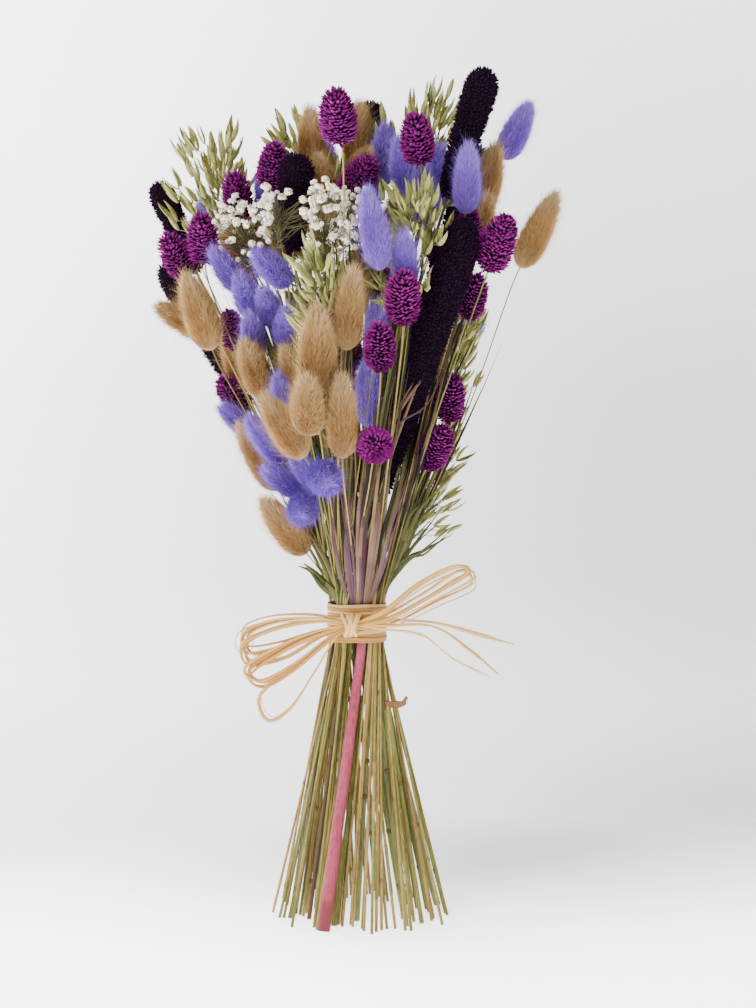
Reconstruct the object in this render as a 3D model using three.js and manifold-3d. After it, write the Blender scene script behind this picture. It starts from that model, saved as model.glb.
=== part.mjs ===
// A hand-tied bunch of dried flowers and grasses that stands on its splayed stems, held by a raffia bow.
// Bunny tails, canary grass, millet spikes, oats and baby's breath fan out above the tie, and their
// stems cross in it and spread below. Millimetres, +Z up, origin on the table under the middle of the bunch.
// While it is laid out, the tie stands over x = 0, y = 0, and the whole is moved to its origin at the end.
// The bunch is seen from -Y, so a smaller y is nearer the viewer.
import * as THREE from "three";
import { mergeVertices } from "three/addons/utils/BufferGeometryUtils.js";
import Module from "manifold-3d";

const wasm = await Module();
wasm.setup();

// ---- Driving dimensions ----
const TIE_Z = 156; // middle of the raffia wrap above the table
const WRAP_HEIGHT = 19;
const WRAP_THICKNESS = 1.5;
const TIE_RADIUS = 14.6; // no stem reaches further than this from the middle of the tie
const FOOT_RADIUS = 50; // the outermost cut ends stand on this circle
const TIE_HALF_WIDTH = 14; // the bunch is this wide to each side at the tie,
const SIDE_SLOPE = 0.37; // widens by this much a side for each millimetre above it,
const FRONT_SLOPE = 0.27; // and by this much to the front and to the back
const LAYER = 14; // how far each layer of heads lies behind the one in front of it
const LEAST_LEAN = 0.45; // a head reaches forward by at least this part of its height
const TWIST_UP = 0.165; // degrees that a stem turns round the bunch for each millimetre above the tie
const TWIST_DOWN = 36; // degrees that it turns from the tie down to its cut end
const EVEN_PLACES = 0.6; // how far the stems turn in the tie from their own side towards even places
const GAP = 0.36; // clear space between one solid and the next
const BACK_SHARE = 0.68; // how near the outline of the bunch the heads at the back stand
const NECK = 9; // the last straight length of a stem below its head
const MOST_SUNK = 6; // a stem ends this far inside its head, or a fifth of the way up a short one
const STEP = 100; // the longest straight length of a stem
const GOLDEN = (Math.sqrt(5) - 1) / 2; // what follows a rule turns on by this part of a turn each time
const GOLDEN_ANGLE = 2 * Math.PI * (1 - GOLDEN);
const TIE_POINT = 1; // a stem's points are its cut end, the two in the tie, those above it and its neck

// ---- The heads that the front of the bunch shows ----
// Each row is [x and z of the base, x and z of the tip, layer, greatest radius]. Layer 0 is the front.
const TAN_ROWS = [
  [-23, 390, -24, 425, 3, 7.0],
  [-1, 396, 2, 431, 3, 7.2],
  [-15, 367, -20, 398, 2, 6.8],
  [-65, 350, -74, 380, 3, 6.5],
  [-58, 333, -70, 364, 2, 6.5],
  [-76, 300, -89, 340, 0, 8.6],
  [-79, 309, -106, 323, 1, 6.5],
  [-48, 276, -58, 304, 0, 7.8],
  [-60, 279, -72, 309, 2, 6.8],
  [-20, 276, -19, 321, 0, 9.4],
  [-23, 272, -38, 301, 1, 7.6],
  [-23, 257, -25, 285, -1, 8.4],
  [-7, 244, -7, 287, 0, 7.0],
  [-27, 244, -48, 276, 0, 8.0],
  [-5, 298, -1, 340, 0, 7.0],
  [-43, 225, -64, 262, 0, 7.4],
  [-27, 192, -51, 223, 0, 8.0],
  [65, 372, 72, 406, 2, 7.2],
  [63, 351, 67, 380, 1, 6.6],
  [87, 344, 106, 384, 1, 7.4],
  [-9, 381, 7, 405, 3, 6.6],
];
const VIOLET_ROWS = [
  [77, 400, 91, 429, 1, 7.2],
  [55, 367, 56, 402, 1, 6.6],
  [40, 375, 44, 406, 2, 6.2],
  [12, 386, 16, 420, 3, 7.0],
  [26, 376, 21, 408, 2, 6.6],
  [35, 363, 33, 394, 2, 6.4],
  [12, 337, 5, 378, 0, 6.8],
  [25, 327, 23, 357, 1, 6.2],
  [-42, 365, -52, 393, 3, 6.4],
  [-88, 359, -82, 386, 2, 6.0],
  [-35, 332, -51, 347, 0, 6.6],
  [-54, 317, -61, 339, 0, 6.8],
  [-44, 313, -48, 331, 0, 5.8],
  [-38, 302, -35, 321, 0, 5.6],
  [-52, 293, -56, 319, 1, 5.8],
  [-39, 241, -58, 266, 0, 6.8],
  [-18, 225, -35, 249, 1, 6.4],
  [-27, 224, -50, 238, 0, 6.6],
  [-19, 237, -12, 231, -1, 8.4],
  [-29, 220, -27, 213, 0, 7.6],
  [-35, 260, -41, 288, 1, 6.0],
  [12, 297, 9, 325, 2, 6.0],
  [7, 259, 5, 295, 1, 7.0],
  [42, 280, 44, 307, 2, 6.0],
  [-54, 254, -75, 271, 2, 6.0],
  [48, 307, 70, 316, 2, 5.0],
  [-62, 331, -75, 352, 1, 5.6],
];
const CANARY_ROWS = [
  [-7, 396, -11, 425, 1, 8.8],
  [-45, 381, -41, 407, 2, 7.2],
  [-61, 367, -65, 395, 1, 7.6],
  [-6, 375, 10, 398, 2, 8.4],
  [32, 389, 28, 417, 1, 8.0],
  [36, 381, 37, 407, 2, 7.4],
  [-79, 343, -81, 373, 1, 7.4],
  [-89, 337, -101, 362, 1, 7.4],
  [57, 345, 57, 373, 1, 7.2],
  [66, 337, 77, 369, 0, 8.8],
  [45, 338, 44, 361, 0, 7.6],
  [23, 310, 23, 339, 0, 8.6],
  [12, 288, 11, 312, 0, 7.4],
  [-14, 303, -19, 330, 1, 7.4],
  [48, 261, 50, 289, 0, 7.2],
  [36, 237, 47, 262, 0, 8.0],
  [10, 248, 8, 254, 0, 8.2],
  [57, 315, 63, 339, 1, 7.0],
  [-60, 265, -76, 288, 2, 7.2],
  [-64, 300, -68, 323, 1, 5.8],
];
const MILLET_ROWS = [
  [10, 222, 55, 362, 0, 9.6],
  [47, 378, 65, 438, 1, 7.8],
  [-91, 346, -109, 391, 2, 6.4],
  [-33, 353, -30, 393, 1, 8.0],
  [-68, 282, -104, 346, 2, 6.6],
];
const OAT_ROWS = [
  [-70, 378, -77, 423, 2, 8.5],
  [-28, 392, -30, 424, 3, 7.5],
  [-12, 373, -11, 402, 2, 7.5],
  [37, 392, 46, 435, 2, 8.5],
  [28, 350, 28, 390, 1, 8.0],
  [-16, 318, -19, 361, 0, 7.5],
  [50, 293, 67, 337, 1, 7.5],
  [38, 220, 52, 266, 1, 7.5],
  [38, 263, 45, 325, 2, 7.5],
];
const BREATH_ROWS = [
  [-56, 343, -62, 375, 0, 11],
  [-36, 343, -40, 375, 1, 11],
  [-16, 343, -17, 378, 1, 11],
  [-3, 343, 0, 378, 1, 11],
];

// ---- The kinds of flower ----
// length: of an average head. stem: radius of the stem. perNode: how many grow together in one body.
// back: how many more stand at the back. A lathed head also has its sides and rings, where its widest
// ring lies (skew below 1 is lower down), how blunt it is (round) and how deep its tufts stand out.
const KINDS = {
  tan: {
    node: "tan_bunny_tails",
    rows: TAN_ROWS,
    length: 42,
    radius: 7.2,
    stem: 0.65,
    perNode: 3,
    back: 5,
    head: { sides: 5, rings: 5, skew: 0.8, round: 0.65, relief: 0.14 },
    look: { color: 0xc79a68, roughness: 0.95 },
  },
  violet: {
    node: "violet_bunny_tails",
    rows: VIOLET_ROWS,
    length: 36,
    radius: 6.6,
    stem: 0.65,
    perNode: 3,
    back: 5,
    head: { sides: 5, rings: 5, skew: 0.8, round: 0.65, relief: 0.14 },
    look: { color: 0x7f6ad6, roughness: 0.95 },
  },
  canary: {
    node: "canary_grass",
    rows: CANARY_ROWS,
    length: 31,
    radius: 7.8,
    stem: 0.7,
    perNode: 3,
    back: 6,
    head: { sides: 6, rings: 6, skew: 0.75, round: 0.7, relief: 0.2 },
    look: { color: 0x7a1c80, roughness: 0.8 },
  },
  millet: {
    node: "millet_spike",
    rows: MILLET_ROWS,
    length: 60,
    radius: 7.4,
    stem: 1.6,
    perNode: 1,
    back: 2,
    head: { sides: 6, rings: 11, skew: 1.25, round: 0.5, relief: 0.12 },
    look: { color: 0x2c0a35, roughness: 0.9 },
  },
  oat: {
    node: "oats",
    rows: OAT_ROWS,
    length: 52,
    radius: 8,
    stem: 1.0,
    perNode: 2,
    back: 3,
    look: { color: 0xb9bd8c, roughness: 0.85 },
  },
  breath: {
    node: "babys_breath",
    rows: BREATH_ROWS,
    length: 40,
    radius: 11,
    stem: 1.0,
    perNode: 1,
    back: 0,
    look: { color: 0xf0ead8, roughness: 0.9 },
  },
};
const FRONT_STEM = 2.7; // radius of the thick dyed stem of the long front spike
const FRONT_AZIMUTH = -76; // it stays here in the tie, in degrees from the right: at the front

// ---- The dry leaves that rise from the tie ----
// A path is a list of [x, z] up the leaf, which lies in front of the stems.
const LEAF_DEPTH = 0.9; // how far out the leaves lie, as a share of the half depth of the bunch
const LEAF_STEM = 0.85; // half width of a leaf in the tie
const LEAF_THICKNESS = 0.9;
const LEAF_START = TIE_Z - WRAP_HEIGHT / 2 - 8; // the leaves end just below the raffia
const LEAVES = {
  mauve_leaves: {
    look: { color: 0x8f7b86, roughness: 0.85 },
    leaves: [
      { halfWidth: 2.0, path: [[-5, 192], [-2, 224]] },
      { halfWidth: 2.8, path: [[4, 200], [9, 236]] },
      { halfWidth: 2.2, path: [[9, 205], [17, 251], [34, 281], [46, 292]] },
    ],
  },
  green_leaves: {
    look: { color: 0x7d8052, roughness: 0.85 },
    leaves: [
      { halfWidth: 2.0, path: [[22, 190], [33, 216], [49, 229]] },
      { halfWidth: 1.6, path: [[20, 182], [35, 193], [51, 205]] },
    ],
  },
  small_leaves: {
    look: { color: 0x8a8a55, roughness: 0.85 },
    leaves: [
      { halfWidth: 1.8, path: [[-17, 178], [-29, 186]] },
      { halfWidth: 1.5, path: [[-15, 186], [-24, 204]] },
    ],
  },
};

// ---- Small helpers ----
const UP = new THREE.Vector3(0, 0, 1);
const degrees = THREE.MathUtils.degToRad;
const vector = (x, y, z) => new THREE.Vector3(x, y, z);

function randomFrom(seed) {
  let state = seed;
  return () => {
    state = (state + 0x6d2b79f5) | 0;
    let mixed = Math.imul(state ^ (state >>> 15), 1 | state);
    mixed = (mixed + Math.imul(mixed ^ (mixed >>> 7), 61 | mixed)) ^ mixed;
    return ((mixed ^ (mixed >>> 14)) >>> 0) / 4294967296;
  };
}

function solidOf(geometry) {
  const bare = geometry.clone();
  bare.deleteAttribute("normal");
  bare.deleteAttribute("uv");
  const merged = mergeVertices(bare, 1e-4);
  const corners = merged.index.array;
  const kept = [];
  for (let i = 0; i < corners.length; i += 3) {
    const [a, b, c] = [corners[i], corners[i + 1], corners[i + 2]];
    if (a !== b && b !== c && c !== a) kept.push(a, b, c);
  }
  return new wasm.Manifold(
    new wasm.Mesh({
      numProp: 3,
      vertProperties: new Float32Array(merged.attributes.position.array),
      triVerts: new Uint32Array(kept),
    }),
  );
}

function meshOf(solid, name, look) {
  const { vertProperties, triVerts } = solid.getMesh();
  const geometry = new THREE.BufferGeometry();
  geometry.setAttribute("position", new THREE.BufferAttribute(new Float32Array(vertProperties), 3));
  geometry.setIndex(new THREE.BufferAttribute(new Uint32Array(triVerts), 1));
  geometry.computeVertexNormals();
  const material = new THREE.MeshStandardMaterial({ metalness: 0, ...look });
  const mesh = new THREE.Mesh(geometry, material);
  mesh.name = name;
  return mesh;
}

const fuse = (solids) => solids.reduce((whole, next) => whole.add(next));

// A cylinder bent along a chain of points: radii and flats are its half width and its half thickness at
// each point. The width lies along "across" as nearly as the chain allows. Its first ring is level
// if it is a cut end that stands on the table.
function bendAlong(points, radii, options = {}) {
  const { sides = 3, flats = radii, across = vector(1, 0, 0), cut = false } = options;
  const last = points.length - 1;
  const tangents = points.map((_, i) => {
    if (cut && i === 0) return UP.clone();
    return points[Math.min(i + 1, last)].clone().sub(points[Math.max(i - 1, 0)]).normalize();
  });
  const widths = [];
  for (let i = 0; i <= last; i++) {
    const from = i === 0 ? across.clone() : widths[i - 1].clone();
    widths.push(from.addScaledVector(tangents[i], -from.dot(tangents[i])).normalize());
  }
  const geometry = new THREE.CylinderGeometry(1, 1, 1, sides, last);
  const position = geometry.attributes.position;
  for (let i = 0; i < position.count; i++) {
    const ring = Math.round((position.getY(i) + 0.5) * last);
    const depth = widths[ring].clone().cross(tangents[ring]);
    const place = points[ring]
      .clone()
      .addScaledVector(widths[ring], position.getX(i) * radii[ring])
      .addScaledVector(depth, position.getZ(i) * flats[ring]);
    position.setXYZ(i, place.x, place.y, place.z);
  }
  return geometry;
}

// ---- Where the flowers stand ----
const halfWidth = (z) => TIE_HALF_WIDTH + SIDE_SLOPE * Math.max(0, z - TIE_Z);
const halfDepth = (z) => TIE_HALF_WIDTH + FRONT_SLOPE * Math.max(0, z - TIE_Z);

// The front of the bunch at a place that the viewer sees. Places past its sides count as just inside them.
const LAST_SHARE = 0.98;
function frontAt(x, z) {
  const share = Math.min(LAST_SHARE, Math.abs(x) / halfWidth(z));
  return -halfDepth(z) * Math.sqrt(1 - share * share);
}

// Heads of one kind are about equally long, so one that looks short leans towards the viewer.
function flowerFromRow(kind, [baseX, baseZ, tipX, tipZ, layer, radius], index) {
  const height = Math.hypot(tipX - baseX, tipZ - baseZ);
  const forward = Math.sqrt(Math.max(kind.length ** 2 - height ** 2, (LEAST_LEAN * height) ** 2));
  const middle = frontAt((baseX + tipX) / 2, (baseZ + tipZ) / 2) + radius + LAYER * layer;
  const base = vector(baseX, middle + forward / 2, baseZ);
  const tip = vector(tipX, middle - forward / 2, tipZ);
  const front = kind === KINDS.millet && index === 0;
  return { ...plant(kind, base, tip, radius, front ? FRONT_STEM : kind.stem), front };
}

// The back is covered by a rule: each next head turns by the golden angle, within the back half.
const BACK = { from: 8, sweep: 164, lowest: 238, rise: 160, climb: 2.3, middling: 36 };
function flowerAtBack(kind, turn, random) {
  const azimuth = degrees(BACK.from + BACK.sweep * ((turn * GOLDEN) % 1));
  const rise = BACK.rise * ((turn * (1 - GOLDEN) * BACK.climb) % 1);
  const height = BACK.lowest + rise - (kind.length - BACK.middling) / 2;
  const out = vector(Math.cos(azimuth) * halfWidth(height), Math.sin(azimuth) * halfDepth(height), 0);
  const base = out.clone().multiplyScalar(BACK_SHARE).setZ(height);
  const lean = 0.25 + 0.25 * random();
  const size = 0.92 + 0.16 * random();
  const tip = out.clone().setZ(0).normalize().multiplyScalar(lean).add(UP).normalize();
  tip.multiplyScalar(kind.length * size).add(base);
  return { ...plant(kind, base, tip, kind.radius * size, kind.stem), free: true };
}

// A stem runs from its cut end through the tie to its head. Its points keep their heights.
function plant(kind, base, tip, radius, stem) {
  const axis = tip.clone().sub(base).normalize();
  const length = tip.distanceTo(base);
  const neck = base.clone().addScaledVector(axis, -NECK);
  neck.z = Math.min(neck.z, base.z - NECK / 2);
  const end = base.clone().addScaledVector(axis, Math.min(MOST_SUNK, 0.2 * length));
  const share = Math.hypot(base.x / halfWidth(base.z), base.y / halfDepth(base.z));
  const turned = Math.atan2(base.y / FRONT_SLOPE, base.x / SIDE_SLOPE) - degrees(TWIST_UP * (base.z - TIE_Z));
  const azimuth = Math.atan2(Math.sin(turned), Math.cos(turned));
  const place = { base, tip, neck, end, home: base.y, azimuth, share: Math.min(1, share) };
  return { kind, radius, stem, length, ...place };
}

function plantAll() {
  const random = randomFrom(11);
  const flowers = [];
  let turn = 1;
  for (const kind of Object.values(KINDS)) {
    kind.rows.forEach((row, index) => flowers.push(flowerFromRow(kind, row, index)));
    for (let i = 0; i < kind.back; i++) flowers.push(flowerAtBack(kind, turn++, random));
  }
  shareOutTie(flowers);
  for (const flower of flowers) layStem(flower, random);
  return flowers;
}

// More heads stand on one side than on the other, so in the tie the stems turn towards even places.
function shareOutTie(flowers) {
  const inOrder = [...flowers].sort((a, b) => a.azimuth - b.azimuth);
  inOrder.forEach((flower, rank) => {
    const even = ((rank + 0.5) / flowers.length) * 2 * Math.PI - Math.PI;
    if (flower.front) flower.azimuth = degrees(FRONT_AZIMUTH);
    else flower.azimuth += EVEN_PLACES * (even - flower.azimuth);
  });
}

// One thin stem in five is a few millimetres too short to reach the table.
const SHORT_STEMS = 0.2;
const MIDDLE_SHARE = 0.12; // a stem from the middle of the bunch is this far out in the tie
function layStem(flower, random) {
  const { azimuth, share, stem, neck } = flower;
  const ring = (radius, angle, z) => vector(Math.cos(angle) * radius, Math.sin(angle) * radius, z);
  const tieShare = flower.front ? 1 : MIDDLE_SHARE + (1 - MIDDLE_SHARE) * share;
  const footShare = Math.min(1, tieShare * (0.88 + 0.3 * random()));
  const raised = random() < SHORT_STEMS && stem < 1 ? 2 + 5 * random() : 0;
  const foot = ring(FOOT_RADIUS * footShare, azimuth - degrees(TWIST_DOWN), raised);
  const low = ring(TIE_RADIUS * tieShare, azimuth, TIE_Z - WRAP_HEIGHT / 2 - 1);
  const high = ring(TIE_RADIUS * tieShare, azimuth, TIE_Z + WRAP_HEIGHT / 2 + 1);
  const pieces = Math.max(1, Math.ceil((neck.z - high.z) / STEP));
  const points = [foot, low, high];
  for (let i = 1; i < pieces; i++) points.push(high.clone().lerp(neck, i / pieces));
  flower.points = points.concat([neck, flower.end]);
  flower.capsule = headCapsule(flower);
}

// Flowers of a kind that meet side by side in the tie grow into one body there.
function gather(flowers) {
  const groups = [];
  for (const kind of Object.values(KINDS)) {
    const own = flowers.filter((flower) => flower.kind === kind);
    own.sort((a, b) => a.azimuth - b.azimuth);
    const count = Math.ceil(own.length / kind.perNode);
    for (let i = 0; i < count; i++) {
      const from = Math.round((i * own.length) / count);
      const to = Math.round(((i + 1) * own.length) / count);
      groups.push({ kind, name: `${kind.node}_${i + 1}`, flowers: own.slice(from, to) });
    }
  }
  for (const [name, { look, leaves }] of Object.entries(LEAVES)) {
    groups.push({ kind: { look }, name, flowers: leaves.map(layLeaf) });
  }
  groups.forEach((group, index) => group.flowers.forEach((flower) => (flower.group = index)));
  return groups;
}

// A leaf has no head: its points run from just below the tie to its tip.
function layLeaf({ halfWidth: width, path }) {
  const above = path.map(([x, z]) => vector(x, frontAt(x, z) * LEAF_DEPTH, z));
  const azimuth = Math.atan2(above[0].y / FRONT_SLOPE, above[0].x / SIDE_SLOPE);
  const inTie = [LEAF_START, TIE_Z - WRAP_HEIGHT / 2 - 1, TIE_Z + WRAP_HEIGHT / 2 + 1].map((z) =>
    vector(Math.cos(azimuth) * TIE_RADIUS, Math.sin(azimuth) * TIE_RADIUS, z),
  );
  return { points: inTie.concat(above), stem: LEAF_STEM, width, capsule: null };
}

// ---- Settling: stems and heads push each other apart until nothing touches ----
// ease is how strongly everything is drawn back to its place: less and less, and not at all at the end.
const SETTLING = { rounds: 870, last: 150, fading: 500, least: 0.08, searchEvery: 15, reach: 3 };
const PULL = { straight: 0.2, home: 0.02, tie: 0.012 };

// The nearest points of two straight pieces a-b and c-d, as shares s and t of their lengths.
function nearest(a, b, c, d) {
  const ux = b.x - a.x, uy = b.y - a.y, uz = b.z - a.z;
  const vx = d.x - c.x, vy = d.y - c.y, vz = d.z - c.z;
  const wx = a.x - c.x, wy = a.y - c.y, wz = a.z - c.z;
  const uu = ux * ux + uy * uy + uz * uz;
  const vv = vx * vx + vy * vy + vz * vz;
  const uv = ux * vx + uy * vy + uz * vz;
  const uw = ux * wx + uy * wy + uz * wz;
  const vw = vx * wx + vy * wy + vz * wz;
  const det = uu * vv - uv * uv;
  const clamp = (value) => Math.min(1, Math.max(0, value));
  let s = det > 1e-9 ? clamp((uv * vw - vv * uw) / det) : 0.5;
  const t = clamp((uv * s + vw) / vv);
  s = clamp((uv * t - uw) / uu);
  const x = wx + ux * s - vx * t, y = wy + uy * s - vy * t, z = wz + uz * s - vz * t;
  return { s, t, x, y, z, distance: Math.hypot(x, y, z) };
}

function settle(groups) {
  const flowers = groups.flatMap((group) => group.flowers);
  const heads = flowers.filter((flower) => flower.capsule).map((flower) => flower.capsule);
  const pieces = flowers.flatMap((flower, owner) =>
    flower.points.slice(1).map((_, i) => ({ owner, flower, from: i, to: i + 1, girth: girthAt(flower, i) })),
  );
  let near = [];
  for (let round = 0; round < SETTLING.rounds; round++) {
    const lastOnes = round > SETTLING.rounds - SETTLING.last;
    const ease = lastOnes ? 0 : Math.max(SETTLING.least, 1 - round / SETTLING.fading);
    if (round % SETTLING.searchEvery === 0) near = closePairs(flowers, heads, pieces);
    for (const [a, b] of near.stems) partStems(a, b);
    for (const [a, b] of near.heads) partHeads(a, b);
    for (const [head, piece] of near.mixed) partStemFromHead(head, piece);
    for (const flower of flowers) straighten(flower, PULL.straight * ease);
    for (const flower of flowers) drawIn(flower, PULL.home * ease);
    for (const group of groups) holdInTie(group, PULL.tie * ease);
  }
}

// A leaf is wider above the tie than in it.
const girthAt = (flower, from) => (flower.width && from > TIE_POINT ? flower.width : flower.stem);

const boxOf = (a, b, margin) => [
  Math.min(a.x, b.x) - margin, Math.min(a.y, b.y) - margin, Math.min(a.z, b.z) - margin,
  Math.max(a.x, b.x) + margin, Math.max(a.y, b.y) + margin, Math.max(a.z, b.z) + margin,
];
const boxesMeet = (p, q) =>
  p[0] < q[3] && q[0] < p[3] && p[1] < q[4] && q[1] < p[4] && p[2] < q[5] && q[2] < p[5];

// A head pushes as a rounded bar down its middle that is as thick as its widest ring.
function headCapsule(flower) {
  const inset = Math.min(0.4, (0.8 * flower.radius) / flower.length);
  const from = flower.base.clone().lerp(flower.tip, inset);
  const to = flower.tip.clone().lerp(flower.base, inset);
  return { flower, from, to, radius: flower.radius };
}

// Stems of one body are one in the tie, so they may touch there and just above and below it.
const joinedInTie = (a, b) => a.flower.group === b.flower.group && Math.min(a.from, b.from) <= TIE_POINT + 1;

function closePairs(flowers, heads, pieces) {
  const pieceBoxes = pieces.map(({ flower, from, to, girth }) =>
    boxOf(flower.points[from], flower.points[to], girth + SETTLING.reach),
  );
  const headBoxes = heads.map(({ from, to, radius }) => boxOf(from, to, radius + SETTLING.reach));
  const near = { stems: [], heads: [], mixed: [] };
  for (let i = 0; i < pieces.length; i++) {
    for (let j = i + 1; j < pieces.length; j++) {
      if (pieces[i].owner === pieces[j].owner || joinedInTie(pieces[i], pieces[j])) continue;
      if (boxesMeet(pieceBoxes[i], pieceBoxes[j])) near.stems.push([pieces[i], pieces[j]]);
    }
  }
  for (let i = 0; i < heads.length; i++) {
    for (let j = i + 1; j < heads.length; j++) {
      if (boxesMeet(headBoxes[i], headBoxes[j])) near.heads.push([heads[i], heads[j]]);
    }
    for (let j = 0; j < pieces.length; j++) {
      if (pieces[j].flower === heads[i].flower) continue;
      if (boxesMeet(headBoxes[i], pieceBoxes[j])) near.mixed.push([heads[i], pieces[j]]);
    }
  }
  return near;
}

// Moves a stem's point sideways. Its last two points belong to the head. The front stem holds its
// place in the tie and below.
function push(flower, index, x, y) {
  if (flower.front && index <= TIE_POINT + 1) return;
  if (!flower.capsule || index < flower.points.length - 2) {
    flower.points[index].x += x;
    flower.points[index].y += y;
  } else {
    moveHead(flower, 0.5 * x, 0.5 * y);
  }
}

// A head that the front shows moves only in depth, and one at the back moves freely.
function moveHead(flower, x, y) {
  if (!flower.capsule) return;
  const { base, tip, neck, end, capsule } = flower;
  for (const point of [base, tip, neck, end, capsule.from, capsule.to]) {
    if (flower.free) point.x += x;
    point.y += y;
  }
}

function partStems(a, b) {
  const [a0, a1] = [a.flower.points[a.from], a.flower.points[a.to]];
  const [b0, b1] = [b.flower.points[b.from], b.flower.points[b.to]];
  const hit = nearest(a0, a1, b0, b1);
  const wanted = a.girth + b.girth + GAP;
  if (hit.distance >= wanted) return;
  let { x, y } = hit;
  let flat = Math.hypot(x, y);
  if (flat < 0.02) {
    x = Math.cos(a.owner * GOLDEN_ANGLE);
    y = Math.sin(a.owner * GOLDEN_ANGLE);
    flat = 1;
  }
  const amount = (0.5 * (wanted - hit.distance)) / flat;
  shiftPiece(a, hit.s, x * amount, y * amount);
  shiftPiece(b, hit.t, -x * amount, -y * amount);
}

function shiftPiece(piece, share, x, y) {
  const near = 1 - share;
  const scale = 1 / (near * near + share * share);
  push(piece.flower, piece.from, x * near * scale, y * near * scale);
  push(piece.flower, piece.to, x * share * scale, y * share * scale);
}

function partHeads(a, b) {
  const hit = nearest(a.from, a.to, b.from, b.to);
  const wanted = a.radius + b.radius + GAP;
  if (hit.distance >= wanted) return;
  if (a.flower.free || b.flower.free) {
    const part = a.flower.free && b.flower.free ? 0.5 : 0.9;
    const amount = (part * (wanted - hit.distance)) / Math.max(0.05, Math.hypot(hit.x, hit.y));
    if (a.flower.free) moveHead(a.flower, hit.x * amount, hit.y * amount);
    if (b.flower.free) moveHead(b.flower, -hit.x * amount, -hit.y * amount);
    return;
  }
  partInDepth(a.flower, b.flower, hit, wanted);
}

// Two heads that the front shows part by moving one nearer to the viewer and the other away.
function partInDepth(a, b, hit, wanted) {
  const level = hit.x * hit.x + hit.z * hit.z;
  const depth = Math.sqrt(Math.max(0, wanted * wanted - level));
  const side = hit.y === 0 ? 1 : Math.sign(hit.y);
  const change = Math.min(1.5, Math.max(0, depth - Math.abs(hit.y))) * 0.4 * side;
  moveHead(a, 0, change);
  moveHead(b, 0, -change);
}

function partStemFromHead(head, piece) {
  const hit = nearest(head.from, head.to, piece.flower.points[piece.from], piece.flower.points[piece.to]);
  const wanted = head.radius + piece.girth + GAP;
  if (hit.distance >= wanted) return;
  const attached = piece.flower.capsule && piece.to >= piece.flower.points.length - 2;
  if (attached) partInDepth(head.flower, piece.flower, hit, wanted);
  const flat = Math.max(0.05, Math.hypot(hit.x, hit.y));
  const amount = Math.min(1.2, 0.6 * (wanted - hit.distance)) / flat;
  shiftPiece(piece, hit.t, -hit.x * amount, -hit.y * amount);
  moveHead(head.flower, 0.25 * hit.x * amount, 0.25 * hit.y * amount);
}

// A stem bends as little as it can.
function straighten(flower, strength) {
  const { points, front } = flower;
  for (let i = front ? TIE_POINT + 2 : TIE_POINT; i < points.length - 2; i++) {
    const [below, here, above] = [points[i - 1], points[i], points[i + 1]];
    const share = (here.z - below.z) / (above.z - below.z);
    const x = below.x + (above.x - below.x) * share;
    const y = below.y + (above.y - below.y) * share;
    here.x += (x - here.x) * strength;
    here.y += (y - here.y) * strength;
  }
}

// A head stays near its place: at the back within the outline of the bunch, at the front in its layer.
function drawIn(flower, strength) {
  if (!flower.capsule) return;
  const { base, home } = flower;
  const share = Math.hypot(base.x / halfWidth(base.z), base.y / halfDepth(base.z));
  if (!flower.free) moveHead(flower, 0, (home - base.y) * strength);
  else if (share > BACK_SHARE) moveHead(flower, -base.x * strength, -base.y * strength);
}

// In the tie the stems of one body overlap a little, and the raffia draws all of them together.
function holdInTie(group, pull) {
  const { flowers } = group;
  for (const level of [0, 1]) {
    const points = flowers.map((flower) => flower.points[TIE_POINT + level]);
    const middle = points.reduce((sum, point) => sum.add(point), vector(0, 0, 0)).divideScalar(points.length);
    const drawn = flowers[0].front ? 0 : pull;
    middle.x *= 1 - drawn;
    middle.y *= 1 - drawn;
    const far = Math.hypot(middle.x, middle.y);
    const spacing = 1.1 * flowers[0].stem;
    const half = (spacing * (points.length - 1)) / 2;
    const reach = Math.sqrt((TIE_RADIUS - flowers[0].stem) ** 2 - half ** 2);
    const scale = far > reach ? reach / far : 1;
    points.forEach((point, i) => {
      const along = (i * spacing - half) / Math.max(far, 0.1);
      point.x = middle.x * scale - middle.y * along;
      point.y = middle.y * scale + middle.x * along;
    });
  }
}

// ---- The shapes of the heads ----
// A head turned on its axis, whose rings stand out and sink in by turns like tufts or scales.
function turnedHead({ kind, radius, length }) {
  const { sides, rings, skew, round, relief } = kind.head;
  const profile = [];
  for (let ring = 0; ring <= rings; ring++) {
    const swell = Math.sin(Math.PI * (ring / rings) ** skew) ** round;
    profile.push(new THREE.Vector2(ring % rings === 0 ? 0 : radius * swell, (length * ring) / rings));
  }
  const geometry = new THREE.LatheGeometry(profile, sides);
  const position = geometry.attributes.position;
  for (let i = 0; i < position.count; i++) {
    const ring = i % (rings + 1);
    const out = ring % 2 === 1 ? 1 : 1 - relief;
    const turn = ring % 2 === 1 ? 0 : Math.PI / sides;
    const [x, z] = [position.getX(i) * out, position.getZ(i) * out];
    const [cos, sin] = [Math.cos(turn), Math.sin(turn)];
    position.setXYZ(i, x * cos - z * sin, position.getY(i), x * sin + z * cos);
  }
  return geometry;
}

function standOn(geometry, base, tip) {
  const axis = tip.clone().sub(base).normalize();
  const turn = new THREE.Quaternion().setFromUnitVectors(vector(0, 1, 0), axis);
  return geometry.applyQuaternion(turn).translate(base.x, base.y, base.z);
}

// A grain or a floret with its thin branch: turned round the line from where it leaves the stalk.
function grainOn(from, to, radius, thickness, widest) {
  const length = from.distanceTo(to);
  const profile = [
    [0, 0],
    [thickness, widest * length - radius],
    [radius, widest * length],
    [0, length],
  ].map(([r, y]) => new THREE.Vector2(r, y));
  if (thickness === 0) profile.splice(1, 1);
  return standOn(new THREE.LatheGeometry(profile, 3), from, to);
}

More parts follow.
